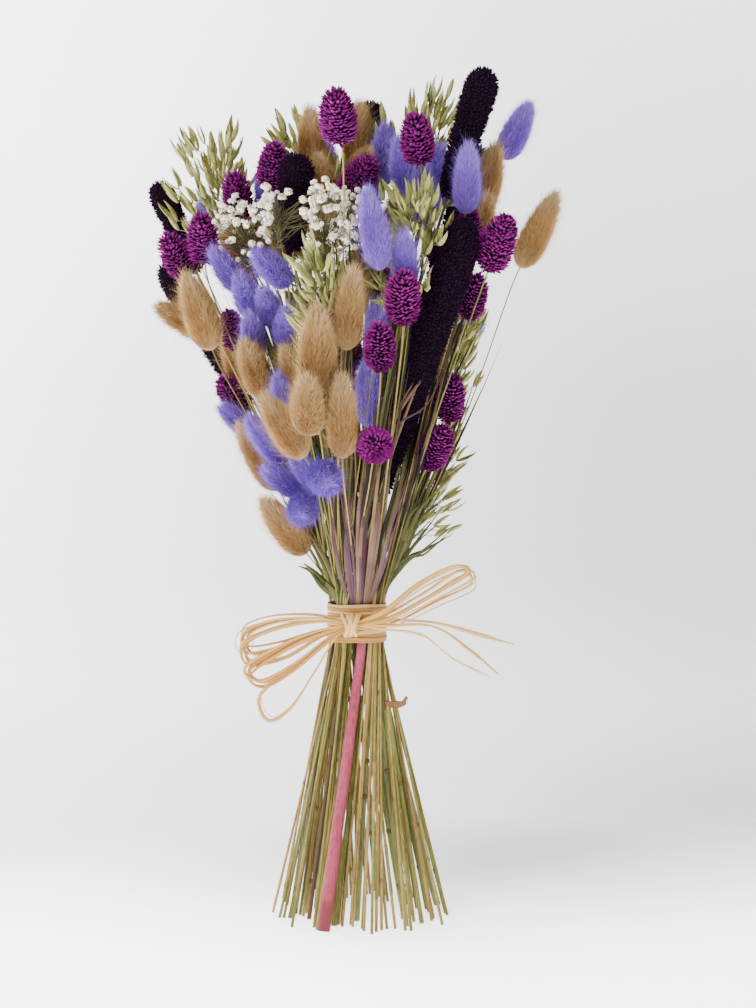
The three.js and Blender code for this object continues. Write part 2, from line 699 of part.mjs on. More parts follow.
// Oats: long grains that stand out from a middle stalk, each sunk into it at its foot.
const OAT = { grains: 7, grainRadius: 1.7, grainReach: 0.32, widest: 0.62 };
function oatHead({ base, tip, radius, length }, random) {
  const axis = tip.clone().sub(base).normalize();
  const side = vector(1, 0, 0).cross(axis).normalize();
  const parts = [bendAlong([base.clone(), tip.clone()], [0.9, 0.5])];
  for (let i = 0; i < OAT.grains; i++) {
    const from = base.clone().lerp(tip, ((i + 0.2) / OAT.grains) * 0.9);
    const out = side.clone().applyAxisAngle(axis, i * GOLDEN_ANGLE + 0.5 * random());
    const reach = radius * (1 - (0.3 * i) / OAT.grains);
    const to = from.clone().addScaledVector(axis, OAT.grainReach * length).addScaledVector(out, reach);
    parts.push(grainOn(from, to, OAT.grainRadius, 0, OAT.widest));
  }
  return parts;
}

// Baby's breath: a cloud of small round florets on branches that leave one stalk.
const BREATH = { florets: 13, floretRadius: 2, branch: 0.5, widest: 0.93 };
function breathHead({ base, tip, radius, length }, random) {
  const axis = tip.clone().sub(base).normalize();
  const side = vector(1, 0, 0).cross(axis).normalize();
  const parts = [bendAlong([base.clone(), base.clone().lerp(tip, 0.7)], [1, 0.7])];
  for (let i = 0; i < BREATH.florets; i++) {
    const share = (i + 0.5) / BREATH.florets;
    const out = Math.sqrt(share) * radius;
    const height = length * (1 - 0.45 * share * share + 0.08 * (random() - 0.5));
    const end = base.clone().addScaledVector(axis, height);
    end.addScaledVector(side.clone().applyAxisAngle(axis, i * GOLDEN_ANGLE), out);
    const from = base.clone().addScaledVector(axis, length * (0.66 - 0.55 * share));
    parts.push(grainOn(from, end, BREATH.floretRadius, BREATH.branch, BREATH.widest));
  }
  return parts;
}

// A leaf: a flat blade, widest a third of the way up, that narrows to a point.
function leafSolid({ points, stem, width }) {
  const last = points.length - 1;
  const widths = points.map((_, i) => {
    if (i <= TIE_POINT + 1) return stem;
    if (i === last) return 0.4;
    return i === last - 1 ? width : 0.85 * width;
  });
  const flats = points.map(() => LEAF_THICKNESS / 2);
  return solidOf(bendAlong(points, widths, { sides: 4, flats }));
}

function flowerSolid(flower, random) {
  if (flower.width) return leafSolid(flower);
  const { kind, points, stem, base, tip } = flower;
  const last = points.length - 1;
  const radii = points.map((_, i) => stem * (1 - 0.3 * Math.max(0, (i - 2) / (last - 2))));
  const sides = stem > 1.5 ? 5 : 3;
  const parts = [bendAlong(points, radii, { sides, cut: true })];
  if (kind.head) parts.push(standOn(turnedHead(flower), base, tip));
  if (kind === KINDS.oat) parts.push(...oatHead(flower, random));
  if (kind === KINDS.breath) parts.push(...breathHead(flower, random));
  return fuse(parts.map(solidOf));
}

// ---- The raffia ----
const WRAP_INNER = TIE_RADIUS + GAP;
const WRAP_OUTER = WRAP_INNER + WRAP_THICKNESS;
const KNOT_DEPTH = 5.5;
const BOW_DEPTH = WRAP_OUTER + GAP + KNOT_DEPTH / 2; // the middle of the knot lies this far in front

// The wrap is a band of turns that bulge a little, one above the other.
function wrapSolid() {
  const turns = 3;
  const groove = 0.45;
  const profile = [];
  for (let i = 0; i <= 2 * turns; i++) {
    const z = (i / (2 * turns) - 0.5) * WRAP_HEIGHT;
    profile.push(new THREE.Vector2(i % 2 === 1 ? WRAP_OUTER : WRAP_OUTER - groove, z));
  }
  profile.push(new THREE.Vector2(WRAP_INNER, WRAP_HEIGHT / 2));
  profile.push(new THREE.Vector2(WRAP_INNER, -WRAP_HEIGHT / 2));
  profile.push(profile[0].clone());
  const sides = 18;
  const geometry = new THREE.LatheGeometry(profile, sides);
  return solidOf(geometry.rotateX(Math.PI / 2).translate(0, 0, TIE_Z));
}

// The bow's strips leave a knot in front of the wrap. Each row lists [x, z] along a strip, and how far
// its far end stands out in front of the knot.
const KNOT = { x: -3, z: TIE_Z, width: 8, height: 13 };
const STRIP = { halfWidth: 1.1, halfThickness: 0.5 };
const BOW_LOOPS = [
  { out: 2, path: [[-20, 159], [-44, 158], [-62, 151], [-60, 141], [-42, 141], [-20, 149]] },
  { out: 5, path: [[-18, 155], [-40, 151], [-60, 142], [-57, 132], [-38, 136], [-18, 148]] },
  { out: 8, path: [[-16, 151], [-34, 143], [-52, 131], [-46, 124], [-32, 133], [-15, 147]] },
  { out: 1, path: [[-16, 148], [-33, 134], [-48, 121], [-44, 108], [-33, 114], [-20, 134], [-11, 149]] },
  { out: 2, path: [[14, 160], [36, 172], [56, 184], [62, 177], [44, 168], [18, 156]] },
  { out: 5, path: [[14, 163], [32, 177], [50, 186], [57, 183], [40, 172], [16, 159]] },
];
const BOW_TAILS = [
  { out: 3, path: [[14, 155], [38, 154], [56, 142], [72, 128]] },
  { out: 6, path: [[12, 153], [34, 149], [50, 137], [70, 127]] },
  { out: 1, path: [[14, 157], [40, 155], [64, 147], [86, 142]] },
];

function stripAlong({ out, path }, closed) {
  const knot = vector(KNOT.x, -BOW_DEPTH, KNOT.z);
  const far = Math.max(...path.map(([x]) => Math.abs(x)));
  const points = path.map(([x, z]) => vector(x, -BOW_DEPTH - out * (Math.abs(x) / far), z));
  const chain = [knot, ...points].concat(closed ? [knot.clone()] : []);
  const widths = chain.map(() => STRIP.halfWidth);
  const flats = chain.map(() => STRIP.halfThickness);
  return bendAlong(chain, widths, { flats, across: vector(0, 1, 0) });
}

function bowSolid() {
  const lump = new THREE.SphereGeometry(0.5, 8, 6).scale(KNOT.width, KNOT_DEPTH, KNOT.height);
  const parts = [lump.translate(KNOT.x, -BOW_DEPTH, KNOT.z)];
  for (const loop of BOW_LOOPS) parts.push(stripAlong(loop, true));
  for (const tail of BOW_TAILS) parts.push(stripAlong(tail, false));
  return fuse(parts.map(solidOf));
}

// ---- The bunch ----
const group = new THREE.Group();
const bodies = gather(plantAll());
settle(bodies);
const random = randomFrom(5);
for (const body of bodies) {
  const solid = fuse(body.flowers.map((flower) => flowerSolid(flower, random)));
  group.add(meshOf(solid, body.name, body.kind.look));
}
group.add(meshOf(wrapSolid(), "raffia_wrap", { color: 0xd9b77a, roughness: 0.9 }));
group.add(meshOf(bowSolid(), "raffia_bow", { color: 0xe3c58f, roughness: 0.9 }));

// The origin is under the middle of the whole bunch, on the table.
const middle = new THREE.Box3().setFromObject(group).getCenter(new THREE.Vector3());
group.position.set(-middle.x, -middle.y, 0);

export default group;
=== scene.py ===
"""A hand-tied bunch of dried flowers and grasses that stands on its splayed stems."""
import math
import random
from dataclasses import dataclass

import bmesh
import bpy
from bpy.props import FloatProperty, FloatVectorProperty, PointerProperty
from mathutils import Matrix, Vector
from mathutils.bvhtree import BVHTree


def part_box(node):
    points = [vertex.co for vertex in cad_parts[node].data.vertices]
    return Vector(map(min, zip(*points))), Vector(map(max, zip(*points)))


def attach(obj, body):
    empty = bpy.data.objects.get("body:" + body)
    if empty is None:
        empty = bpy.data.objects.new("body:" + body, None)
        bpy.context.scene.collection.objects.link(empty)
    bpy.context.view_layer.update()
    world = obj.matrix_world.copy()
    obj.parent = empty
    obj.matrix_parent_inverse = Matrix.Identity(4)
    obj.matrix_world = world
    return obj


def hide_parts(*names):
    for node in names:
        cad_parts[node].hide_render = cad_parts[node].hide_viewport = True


bl_info = {
    "name": "Dried flower bunch",
    "version": (1, 0, 0),
    "blender": (4, 5, 0),
    "location": "3D View > Sidebar > Bunch",
    "description": "Builds a hand-tied bunch of dried flowers and grasses round its packed frame",
    "category": "Object",
}

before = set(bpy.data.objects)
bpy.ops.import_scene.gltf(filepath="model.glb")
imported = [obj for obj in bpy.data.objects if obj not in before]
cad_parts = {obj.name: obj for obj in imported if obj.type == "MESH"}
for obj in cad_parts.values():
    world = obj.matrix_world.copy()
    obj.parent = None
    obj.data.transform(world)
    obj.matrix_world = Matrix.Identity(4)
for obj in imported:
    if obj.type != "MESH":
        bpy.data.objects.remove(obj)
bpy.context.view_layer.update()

# ---- Sizes, in metres ----
MM = 0.001
GOLDEN_ANGLE = math.pi * (3 - math.sqrt(5))
WRAP_LOW, WRAP_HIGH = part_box("raffia_wrap")
TIE = (WRAP_LOW + WRAP_HIGH) / 2
WRAP_RADIUS = (WRAP_HIGH.x - WRAP_LOW.x) / 2
WRAP_HEIGHT = WRAP_HIGH.z - WRAP_LOW.z
NECK = 9 * MM  # the last straight length of a stem below its head
SHORT_EDGE = 17 * MM  # edges of one head are shorter than this, and a stem's long edges are longer
HEAD_VERTS = 28  # a head has at least this many vertices
LOWEST_HEAD = 185 * MM
CANARY_SHARE = 0.79  # the firm part of a canary grass head, which the husks reach beyond
TAIL_SHARE = 0.92  # the firm part of a bunny tail's length, which the hairs reach beyond
LEVEL_REACH = 3 * MM  # a stem's bends this near to a height belong to it
NECK_REACH = 4 * MM  # vertices this near to the top of a stem aren't the head's own
TAPER = 0.6  # how nearly a head's tip lies straight on from its neck, for a head that tapers
STEM_STEP = 1.1  # how far side by side stems of one group stand apart in the tie, in radii
FOOT_REACH = 12 * MM  # the cut ends lie below this height
THICK_STEM = 2 * MM  # only the dyed front stem has a larger radius
DARK_FOOT = 17 * MM  # the front stem is darker below this height


def seeded(*words):
    """A random source that gives the same draws in each run."""
    return random.Random(" ".join(str(word) for word in words))


# ---- Properties that a user may change ----
def colour(name, description, rgb):
    return FloatVectorProperty(
        name=name, description=description, default=rgb, subtype="COLOR", size=3, min=0, max=1
    )


def length(name, description, metres):
    return FloatProperty(name=name, description=description, default=metres, unit="LENGTH", min=0)


class BunchColours(bpy.types.PropertyGroup):
    tan_tip: colour("Tan tips", "Ends of the hairs of the natural bunny tails", (0.80, 0.50, 0.20))
    tan_root: colour("Tan roots", "Inner part of the natural bunny tails", (0.31, 0.12, 0.022))
    # The glow colours are painted into both ends of each tail as painted glow, and they tint the sheen of its
    # lit edges.
    tan_glow: colour("Tan glow", "Pale ends and lit edges of the natural bunny tails", (0.94, 0.72, 0.40))
    violet_tip: colour("Violet tips", "Ends of the hairs of the dyed bunny tails", (0.46, 0.30, 1.0))
    violet_root: colour("Violet roots", "Inner part of the dyed bunny tails", (0.22, 0.06, 0.62))
    # The same painted glow and sheen tint for the dyed tails.
    violet_glow: colour("Violet glow", "Pale ends and lit edges of the dyed bunny tails", (0.62, 0.48, 1.0))
    canary_tip: colour("Canary grass tips", "Ends of the husks of the canary grass", (0.38, 0.014, 0.28))
    canary_root: colour("Canary grass roots", "Deep part of the canary grass heads", (0.02, 0.001, 0.03))
    millet_tip: colour("Millet tips", "Ends of the bristles of the millet spikes", (0.020, 0.001, 0.024))
    millet_root: colour("Millet roots", "Deep part of the millet spikes", (0.0012, 0.0003, 0.002))
    dye_glow: colour("Dye glow", "Lit edges of the dark dyed heads", (0.42, 0.04, 0.45))
    oat: colour("Oat husks", "Husks of the oats", (0.34, 0.33, 0.085))
    breath: colour("Baby's breath", "Petals of the baby's breath", (0.96, 0.90, 0.72))
    straw: colour("Straw", "Dry stems", (0.52, 0.34, 0.10))
    olive: colour("Olive", "Green stems", (0.22, 0.225, 0.045))
    dyed_stem: colour("Dyed stem", "The thick front stem", (0.36, 0.016, 0.07))
    mauve_leaf: colour("Mauve leaves", "Dry leaves in the middle", (0.19, 0.10, 0.085))
    green_leaf: colour("Green leaves", "Dry leaves at the sides", (0.10, 0.115, 0.028))
    raffia: colour("Raffia", "The band and the bow", (0.62, 0.33, 0.075))


class BunchSizes(bpy.types.PropertyGroup):
    hair: length("Hair", "Length of a bunny tail's hairs", 5.2 * MM)
    husk: length("Husk", "Length of a canary grass husk", 3.4 * MM)
    bristle: length("Bristle", "Length of a millet spike's bristles", 2.0 * MM)
    oat: length("Oat husk", "Length of a pair of oat husks", 14 * MM)
    strip: length("Raffia strip", "Width of a strip of raffia", 1.5 * MM)


# ---- Reading the frame ----
def merged_copy(node):
    """A CAD node's loose triangles as one connected mesh, its vertices in the order of their places."""
    bm = bmesh.new()
    bm.from_mesh(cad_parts[node].data)
    bmesh.ops.remove_doubles(bm, verts=bm.verts, dist=0.002 * MM)
    in_order = sorted(bm.verts, key=lambda vert: tuple(round(value, 6) for value in vert.co))
    for i, vert in enumerate(in_order):
        vert.index = i
    bm.verts.sort()
    return bm


def middle_of(verts):
    return sum((vert.co for vert in verts), Vector()) / len(verts)


def islands_of(bm):
    """Groups of vertices that short edges join: each head, each bend of a stem, each cut end."""
    islands = []
    seen = set()
    for start in bm.verts:
        if start.index in seen:
            continue
        seen.add(start.index)
        island = [start]
        for vert in island:
            for edge in vert.link_edges:
                other = edge.other_vert(vert)
                if other.index not in seen and edge.calc_length() < SHORT_EDGE:
                    seen.add(other.index)
                    island.append(other)
        islands.append(sorted(island, key=lambda vert: vert.index))
    return islands


@dataclass
class Flower:
    """A head, from its base along its axis, and its stem's course, from the cut end up."""

    base: Vector
    axis: Vector
    length: float
    radius: float
    course: list
    stem: float = 0.0  # the stem's radius


def azimuth(point):
    return math.atan2(point.y - TIE.y, point.x - TIE.x)


def turn_from(point, start):
    """How far a point lies round the tie from a direction, between minus and plus half a turn."""
    turn = azimuth(point) - start
    return math.atan2(math.sin(turn), math.cos(turn))


def read_flowers(node):
    """The flowers of a CAD node. Its heads and feet are paired in their order round the tie."""
    bm = merged_copy(node)
    islands = islands_of(bm)
    owner = {vert.index: i for i, island in enumerate(islands) for vert in island}
    middles = [middle_of(island) for island in islands]
    below = [{} for _ in islands]
    for edge in sorted(bm.edges, key=lambda edge: sorted(vert.index for vert in edge.verts)):
        ends = sorted(edge.verts, key=lambda vert: (middles[owner[vert.index]].z, vert.index))
        low, high = (owner[vert.index] for vert in ends)
        if low != high:
            below[high].setdefault(low, []).append(ends[1])
    crowded = [
        i for i, island in enumerate(islands) if len(island) >= HEAD_VERTS and middles[i].z > LOWEST_HEAD
    ]
    heads = [i for i in crowded if any(low not in crowded for low in below[i])]
    levels = [
        middle_of([vert for vert in bm.verts if abs(vert.co.z - height) < LEVEL_REACH])
        for height in (WRAP_LOW.z - MM, WRAP_HIGH.z + MM)
    ]
    start = azimuth(levels[0])
    flowers = [
        measure_head(islands[head], course_down(head, below, crowded, middles)) for head in heads
    ]
    feet = read_feet(islands, middles, len(flowers))
    radius = stem_radius(bm, feet)
    bm.free()
    flowers.sort(key=lambda flower: turn_from(flower.course[0], start))
    facing = azimuth(sum(feet, Vector()) / len(feet))
    feet.sort(key=lambda foot: turn_from(foot, facing))
    across = Vector((-math.sin(start), math.cos(start), 0))
    for i, (flower, foot) in enumerate(zip(flowers, feet)):
        shift = across * (i - (len(feet) - 1) / 2) * STEM_STEP * radius
        flower.course = [foot, levels[0] + shift, levels[1] + shift, *reversed(flower.course)]
        flower.stem = radius
    return flowers


def course_down(head, below, crowded, middles):
    """The bends of a head's stem, from the neck down to the tie. below lists, for each island, the
    vertices by which it hangs together with each lower one, and crowded are the heads."""
    course = []
    here = head
    while here == head or middles[here].z > LOWEST_HEAD:
        lower = [low for low in below[here] if low not in crowded]
        if not lower:
            break
        nearest = max(lower, key=lambda low: len(below[here][low]))
        joins = list(dict.fromkeys(below[here][nearest]))
        course.append(middle_of(joins) if here == head else middles[here])
        here = nearest
    return course


def read_feet(islands, middles, count):
    """The middles of the cut ends. Ends that touch are one island, which is parted."""
    cuts = [
        [vert.co.copy() for vert in island if vert.co.z < FOOT_REACH]
        for island, middle in zip(islands, middles)
        if middle.z < FOOT_REACH
    ]
    while len(cuts) < count:
        widest = max(cuts, key=len)
        cuts.remove(widest)
        one = max(widest, key=lambda point: (point - widest[0]).length)
        other = max(widest, key=lambda point: (point - one).length)
        cuts.append([point for point in widest if (point - one).length <= (point - other).length])
        cuts.append([point for point in widest if (point - one).length > (point - other).length])
    return [sum(cut, Vector()) / len(cut) for cut in cuts[:count]]


def stem_radius(bm, feet):
    """The radius of the stems at their cut ends."""
    near = [vert.co for vert in bm.verts if vert.co.z < FOOT_REACH]
    reaches = sorted(min((point - foot).length for foot in feet) for point in near)
    return reaches[len(reaches) // 2]


def measure_head(island, course):
    """The base, axis, length and radius of a head. A head that tapers points along its own axis, and
    another one on from its neck."""
    neck = course[0]
    own = [vert.co.copy() for vert in island if (vert.co - neck).length > NECK_REACH]
    middle = sum(own, Vector()) / len(own)
    tip = max(own, key=lambda point: (point - neck).length)
    tapers = (tip - middle).normalized().dot((middle - neck).normalized()) > TAPER
    axis = (tip - middle).normalized() if tapers else (middle - neck).normalized()
    foot = middle + axis * (neck - middle).dot(axis)
    far = max((point - foot).dot(axis) for point in own)
    base = foot + axis * NECK
    radius = max((point - base - axis * (point - base).dot(axis)).length for point in own)
    return Flower(base, axis, far - NECK, radius, course)


# ---- Courses: chains of points that stems, strips and leaves follow ----
BEND_STEPS = 5


def rounded(course, reaches):
    """The course with each bend rounded from one reach before it to one reach after it."""
    points = [course[0]]
    for before, bend, after, reach in zip(course, course[1:], course[2:], reaches):
        near = min(reach, 0.48 * (before - bend).length)
        far = min(reach, 0.48 * (after - bend).length)
        start = bend + (before - bend).normalized() * near
        end = bend + (after - bend).normalized() * far
        for i in range(BEND_STEPS + 1):
            t = i / BEND_STEPS
            points.append(start * (1 - t) ** 2 + bend * 2 * t * (1 - t) + end * t * t)
    points.append(course[-1])
    return points


def resampled(points, count):
    """The same course as evenly spaced points."""
    lengths = [(b - a).length for a, b in zip(points, points[1:])]
    total = sum(lengths)
    result = []
    i = 0
    passed = 0.0
    for k in range(count):
        wanted = total * k / (count - 1)
        while i < len(lengths) - 1 and passed + lengths[i] < wanted:
            passed += lengths[i]
            i += 1
        share = (wanted - passed) / max(lengths[i], 1e-9)
        result.append(points[i].lerp(points[i + 1], min(1.0, share)))
    return result


def through(points, count):
    """A smooth course through a few points, as evenly spaced points."""
    dense = []
    for i in range(len(points) - 1):
        a = points[max(i - 1, 0)]
        b = points[i]
        c = points[i + 1]
        d = points[min(i + 2, len(points) - 1)]
        for k in range(8):
            t = k / 8
            dense.append(
                0.5 * (2 * b + (c - a) * t + (2 * a - 5 * b + 4 * c - d) * t * t
                       + (3 * b - a - 3 * c + d) * t * t * t)
            )
    dense.append(points[-1].copy())
    return resampled(dense, count)


# ---- Mesh helpers ----
def mesh_from(bm, name, material=None, smooth=False):
    """A bmesh as a mesh. The bmesh goes."""
    if smooth:
        for face in bm.faces:
            face.smooth = True
    mesh = bpy.data.meshes.new(name)
    bm.to_mesh(mesh)
    bm.free()
    if material:
        mesh.materials.append(material)
    return mesh


def marked(mesh, **numbers):
    """A mesh whose points all carry the numbers that its material reads."""
    for name, number in numbers.items():
        layer = mesh.attributes.get(name) or mesh.attributes.new(name, "FLOAT", "POINT")
        layer.data.foreach_set("value", [number] * len(mesh.vertices))
    return mesh


def link(mesh, name):
    piece = bpy.data.objects.new(name, mesh)
    bpy.context.scene.collection.objects.link(piece)
    return piece


def applied(piece):
    """The mesh of an object with its modifiers applied. The object goes."""
    depsgraph = bpy.context.evaluated_depsgraph_get()
    mesh = bpy.data.meshes.new_from_object(piece.evaluated_get(depsgraph))
    bpy.data.objects.remove(piece)
    return mesh


def tube(name, course, radii, material, sides=8):
    """A round stem along a course, closed at both ends."""
    curve = bpy.data.curves.new(name, "CURVE")
    curve.dimensions = "3D"
    curve.bevel_depth = 1.0
    curve.bevel_resolution = sides // 2 - 2
    curve.use_fill_caps = True
    spline = curve.splines.new("POLY")
    spline.points.add(len(course) - 1)
    for point, place, radius in zip(spline.points, course, radii):
        point.co = (*place, 1)
        point.radius = radius
    mesh = applied(link(curve, name))
    bpy.data.curves.remove(curve)
    mesh.materials.clear()
    mesh.materials.append(material)
    return mesh


def to_front(point):
    """The direction that a blade faces unless told otherwise."""
    return Vector((0, -1, 0))


def strip(
    name, course, widths, material, crown=0.0, thickness=0.2 * MM, twist=0.0, facing=to_front, lanes=4
):
    """A thin blade along a course, turned by twist from its start to its end. Its edges bend back by
    crown times its width."""
    bm = bmesh.new()
    bm.loops.layers.uv.new("UVMap")
    bmesh.ops.create_grid(bm, x_segments=len(course) - 1, y_segments=lanes, size=1, calc_uvs=True)
    last = len(course) - 1
    sides = []
    for i in range(last + 1):
        tangent = (course[min(i + 1, last)] - course[max(i - 1, 0)]).normalized()
        side = tangent.cross(facing(course[i]))
        if side.length < 0.1:
            side = tangent.cross(Vector((1, 0, 0)))
        side = Matrix.Rotation(twist * i / last, 3, tangent) @ side.normalized()
        sides.append((side, side.cross(tangent)))
    for vert in bm.verts:
        i = round((vert.co.x + 1) / 2 * last)
        across = vert.co.y
        side, out = sides[i]
        bend = crown * widths[i] * (1 - across * across)
        vert.co = course[i] + side * (across * widths[i] / 2) + out * bend
    bmesh.ops.solidify(bm, geom=bm.faces, thickness=thickness)
    bmesh.ops.recalc_face_normals(bm, faces=bm.faces)
    return mesh_from(bm, name, material, smooth=True)


def joined(name, meshes):
    """One object of several meshes, which keep their own materials."""
    parts = [link(mesh, name) for mesh in meshes]
    if len(parts) > 1:
        with bpy.context.temp_override(active_object=parts[0], selected_editable_objects=parts):
            bpy.ops.object.join()
    return parts[0]


def finish_piece(node, meshes):
    """Joins meshes to the one piece that replaces a CAD node."""
    piece = joined(f"{node}_dressed", meshes)
    piece.data.name = piece.name
    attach(piece, "root")
    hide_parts(node)


def look_along(axis, place, scale=(1, 1, 1), turn=0.0):
    """A matrix that stands a shape modelled up Z at a place, with its Z along an axis."""
    rotation = axis.to_track_quat("Z", "Y").to_matrix().to_4x4() @ Matrix.Rotation(turn, 4, "Z")
    return Matrix.Translation(place) @ rotation @ Matrix.Diagonal((*scale, 1))


def placed(mesh, matrix):
    """A copy of a mesh at a place."""
    copy = mesh.copy()
    copy.transform(matrix)
    return copy


def beside_axis(flower, turn):
    """A direction square to a flower's axis, turned round it."""
    side = flower.axis.cross(Vector((1, 0, 0))).normalized()
    return Matrix.Rotation(turn, 3, flower.axis) @ side


def twig(start, bend, end, radii, material):
    """A fine bent branch."""
    return tube("twig", through([start, bend, end], len(radii)), radii, material, 5)


def stray(draw):
    """A random step of up to one unit either way along each axis."""
    return Vector([draw.uniform(-1, 1) for _ in range(3)])


# ---- Shapes that heads are covered with: one unit long, up Z, with "tip" from 0 at the root to 1 ----
def template(name, bm, material):
    """Turns a shape into an object that a cover repeats."""
    tip = bm.verts.layers.float.new("tip")
    for vert in bm.verts:
        vert[tip] = vert.co.z
    return link(mesh_from(bm, name, material), name)


def hair_shape(name, material):
    """A three-sided point."""
    bm = bmesh.new()
    bmesh.ops.create_cone(bm, cap_ends=True, cap_tris=True, segments=3, radius1=1, radius2=0, depth=1)
    bmesh.ops.translate(bm, verts=bm.verts, vec=(0, 0, 0.5))
    return template(name, bm, material)


def husk_shape(name, material):
    """A narrow boat of a husk: wide at its middle, with its tip turned out."""
    bm = bmesh.new()
    rings = []
    for height, width, out in ((0.0, 0.5, -0.1), (0.55, 1.0, 0.1)):
        corners = [(width, 0), (0, 0.6 * width), (-width, 0), (0, -0.5 * width)]
        rings.append([bm.verts.new((x, y + out, height)) for x, y in corners])
    tip = bm.verts.new((0, 0.7, 1.0))
    low, high = rings
    bm.faces.new(low)
    for i in range(4):
        j = (i + 1) % 4
        bm.faces.new((low[i], low[j], high[j], high[i]))
        bm.faces.new((high[i], high[j], tip))
    bmesh.ops.recalc_face_normals(bm, faces=bm.faces)
    return template(name, bm, material)


def seed_shape(name, material):
    """A round grain."""
    bm = bmesh.new()
    bmesh.ops.create_icosphere(bm, subdivisions=1, radius=0.5)
    bmesh.ops.translate(bm, verts=bm.verts, vec=(0, 0, 0.5))
    return template(name, bm, material)


# ---- Nodes ----
def add_node(tree, kind, inputs=(), **settings):
    """Adds a node. inputs are values, or sockets to read, by name or in the order of those in use."""
    node = tree.nodes.new(kind)
    for name, value in settings.items():
        setattr(node, name, value)
    if isinstance(inputs, dict):
        pairs = [(node.inputs[name], value) for name, value in inputs.items()]
    else:
        in_use = [socket for socket in node.inputs if socket.enabled]
        pairs = zip(in_use, inputs)
    for socket, value in pairs:
        if isinstance(value, bpy.types.NodeSocket):
            tree.links.new(value, socket)
        else:
            socket.default_value = value
    return node


def output_of(node):
    """A node's first output that is in use."""
    return next(socket for socket in node.outputs if socket.enabled)


# ---- Covers: geometry nodes that repeat a shape all over a head ----
SLIMMEST, WIDEST = (0.8, 0.8, 0.65), (1.2, 1.2, 1.3)  # limits of the random scale of each copy


def cover_group(name, shape, height, *, width, lean, spread, seed, density=None, gap=None, flat=1.0):
    """A node group that stands copies of a shape on a surface, so many to a square metre or a gap
    apart. lean is how far they turn from the surface's own direction towards the head's axis, spread
    how much they stray, and flat their depth as a share of their width."""
    group = bpy.data.node_groups.new(name, "GeometryNodeTree")
    for in_out in ("INPUT", "OUTPUT"):
        group.interface.new_socket("Geometry", in_out=in_out, socket_type="NodeSocketGeometry")

    def add(kind, inputs=(), **settings):
        return add_node(group, kind, inputs, **settings)

    def vector(operation, inputs):
        return add("ShaderNodeVectorMath", inputs, operation=operation).outputs[0]

    def chance(low, high, offset, data_type="FLOAT_VECTOR"):
        node = add("FunctionNodeRandomValue", (low, high), data_type=data_type)
        node.inputs["Seed"].default_value = seed + offset
        return output_of(node)

    spacing = {"Distance Min": gap, "Density Max": 4 / gap**2} if gap else {"Density": density}
    points = add(
        "GeometryNodeDistributePointsOnFaces",
        {"Mesh": add("NodeGroupInput").outputs[0], "Seed": seed, **spacing},
        distribute_method="POISSON" if gap else "RANDOM",
    )
    normal = points.outputs["Normal"]
    axis = add("GeometryNodeInputNamedAttribute", {"Name": "axis"}, data_type="FLOAT_VECTOR").outputs[0]
    outward = vector("SCALE", {0: normal, "Scale": 1 - lean})
    onward = vector("SCALE", {0: axis, "Scale": lean})
    towards = vector("ADD", (outward, onward))
    strayed = vector("ADD", (towards, chance((-spread,) * 3, (spread,) * 3, 1)))
    align = "FunctionNodeAlignRotationToVector"
    stand = add(align, {"Vector": strayed}, axis="Z").outputs[0]
    face_out = add(align, {"Rotation": stand, "Vector": normal}, axis="Y", pivot_axis="Z").outputs[0]
    full_size = (width / 2, width * flat / 2, height)
    copies = add(
        "GeometryNodeInstanceOnPoints",
        {
            "Points": points.outputs["Points"],
            "Instance": add("GeometryNodeObjectInfo", {"Object": shape}).outputs["Geometry"],
            "Rotation": face_out,
            "Scale": vector("MULTIPLY", (chance(SLIMMEST, WIDEST, 2), full_size)),
        },
    ).outputs[0]
    shaded = add(
        "GeometryNodeStoreNamedAttribute",
        {"Geometry": copies, "Name": "shade", "Value": chance(0.0, 1.0, 3, "FLOAT")},
        domain="INSTANCE",
        data_type="FLOAT",
    ).outputs[0]
    real = add("GeometryNodeRealizeInstances", {"Geometry": shaded}).outputs[0]
    add("NodeGroupOutput", {"Geometry": real})
    return group


def covered(core, groups):
    """The core's mesh and a mesh of each of its covers. The covers are made first, because merging
    the core's seams may change the order of its faces, which the covers' random numbers go by."""
    covers = []
    for group in groups:
        cover = link(core.copy(), group.name)
        modifier = cover.modifiers.new("cover", "NODES")
        modifier.node_group = group
        covers.append(applied(cover))
    bm = bmesh.new()
    bm.from_mesh(core)
    bmesh.ops.remove_doubles(bm, verts=bm.verts, dist=0.001 * MM)
    bm.to_mesh(core)
    bm.free()
    return [core, *covers]


def core_mesh(name, flowers, profile, material, thickness=1.0, rings=14, sides=12):
    """The solid cores of heads, each a grid rolled up round its axis. profile gives the share of the
    radius at a share of the length."""
    bm = bmesh.new()
    axis_layer = bm.verts.layers.float_vector.new("axis")
    along_layer = bm.verts.layers.float.new("along")
    for flower in flowers:
        made = bmesh.ops.create_grid(bm, x_segments=sides, y_segments=rings, size=1)
        matrix = look_along(flower.axis, flower.base)
        for vert in made["verts"]:
            angle = 2 * math.pi * (round(sides * (vert.co.x + 1) / 2) % sides) / sides
            along = (1 - math.cos(math.pi * (vert.co.y + 1) / 2)) / 2
            at_end = round(rings * (vert.co.y + 1) / 2) in (0, rings)
            girth = 0 if at_end else profile(along) * flower.radius * thickness
            place = (girth * math.cos(angle), girth * math.sin(angle), along * flower.length)
            vert.co = matrix @ Vector(place)
            vert[axis_layer] = flower.axis
            vert[along_layer] = along
    return mesh_from(bm, name, material, smooth=True)


def egg(along, widest, taper, power):
    """Round below, widest at a share of the length, then slowly narrower."""
    if along < widest:
        return (1 - (1 - along / widest) ** 3) ** 0.45
    return (1 - ((along - widest) / (1 - widest)) ** taper) ** power


def tail_profile(along):
    return egg(along, 0.32, 2.0, 0.75)


def canary_profile(along):
    return egg(along, 0.4, 2.2, 0.6)


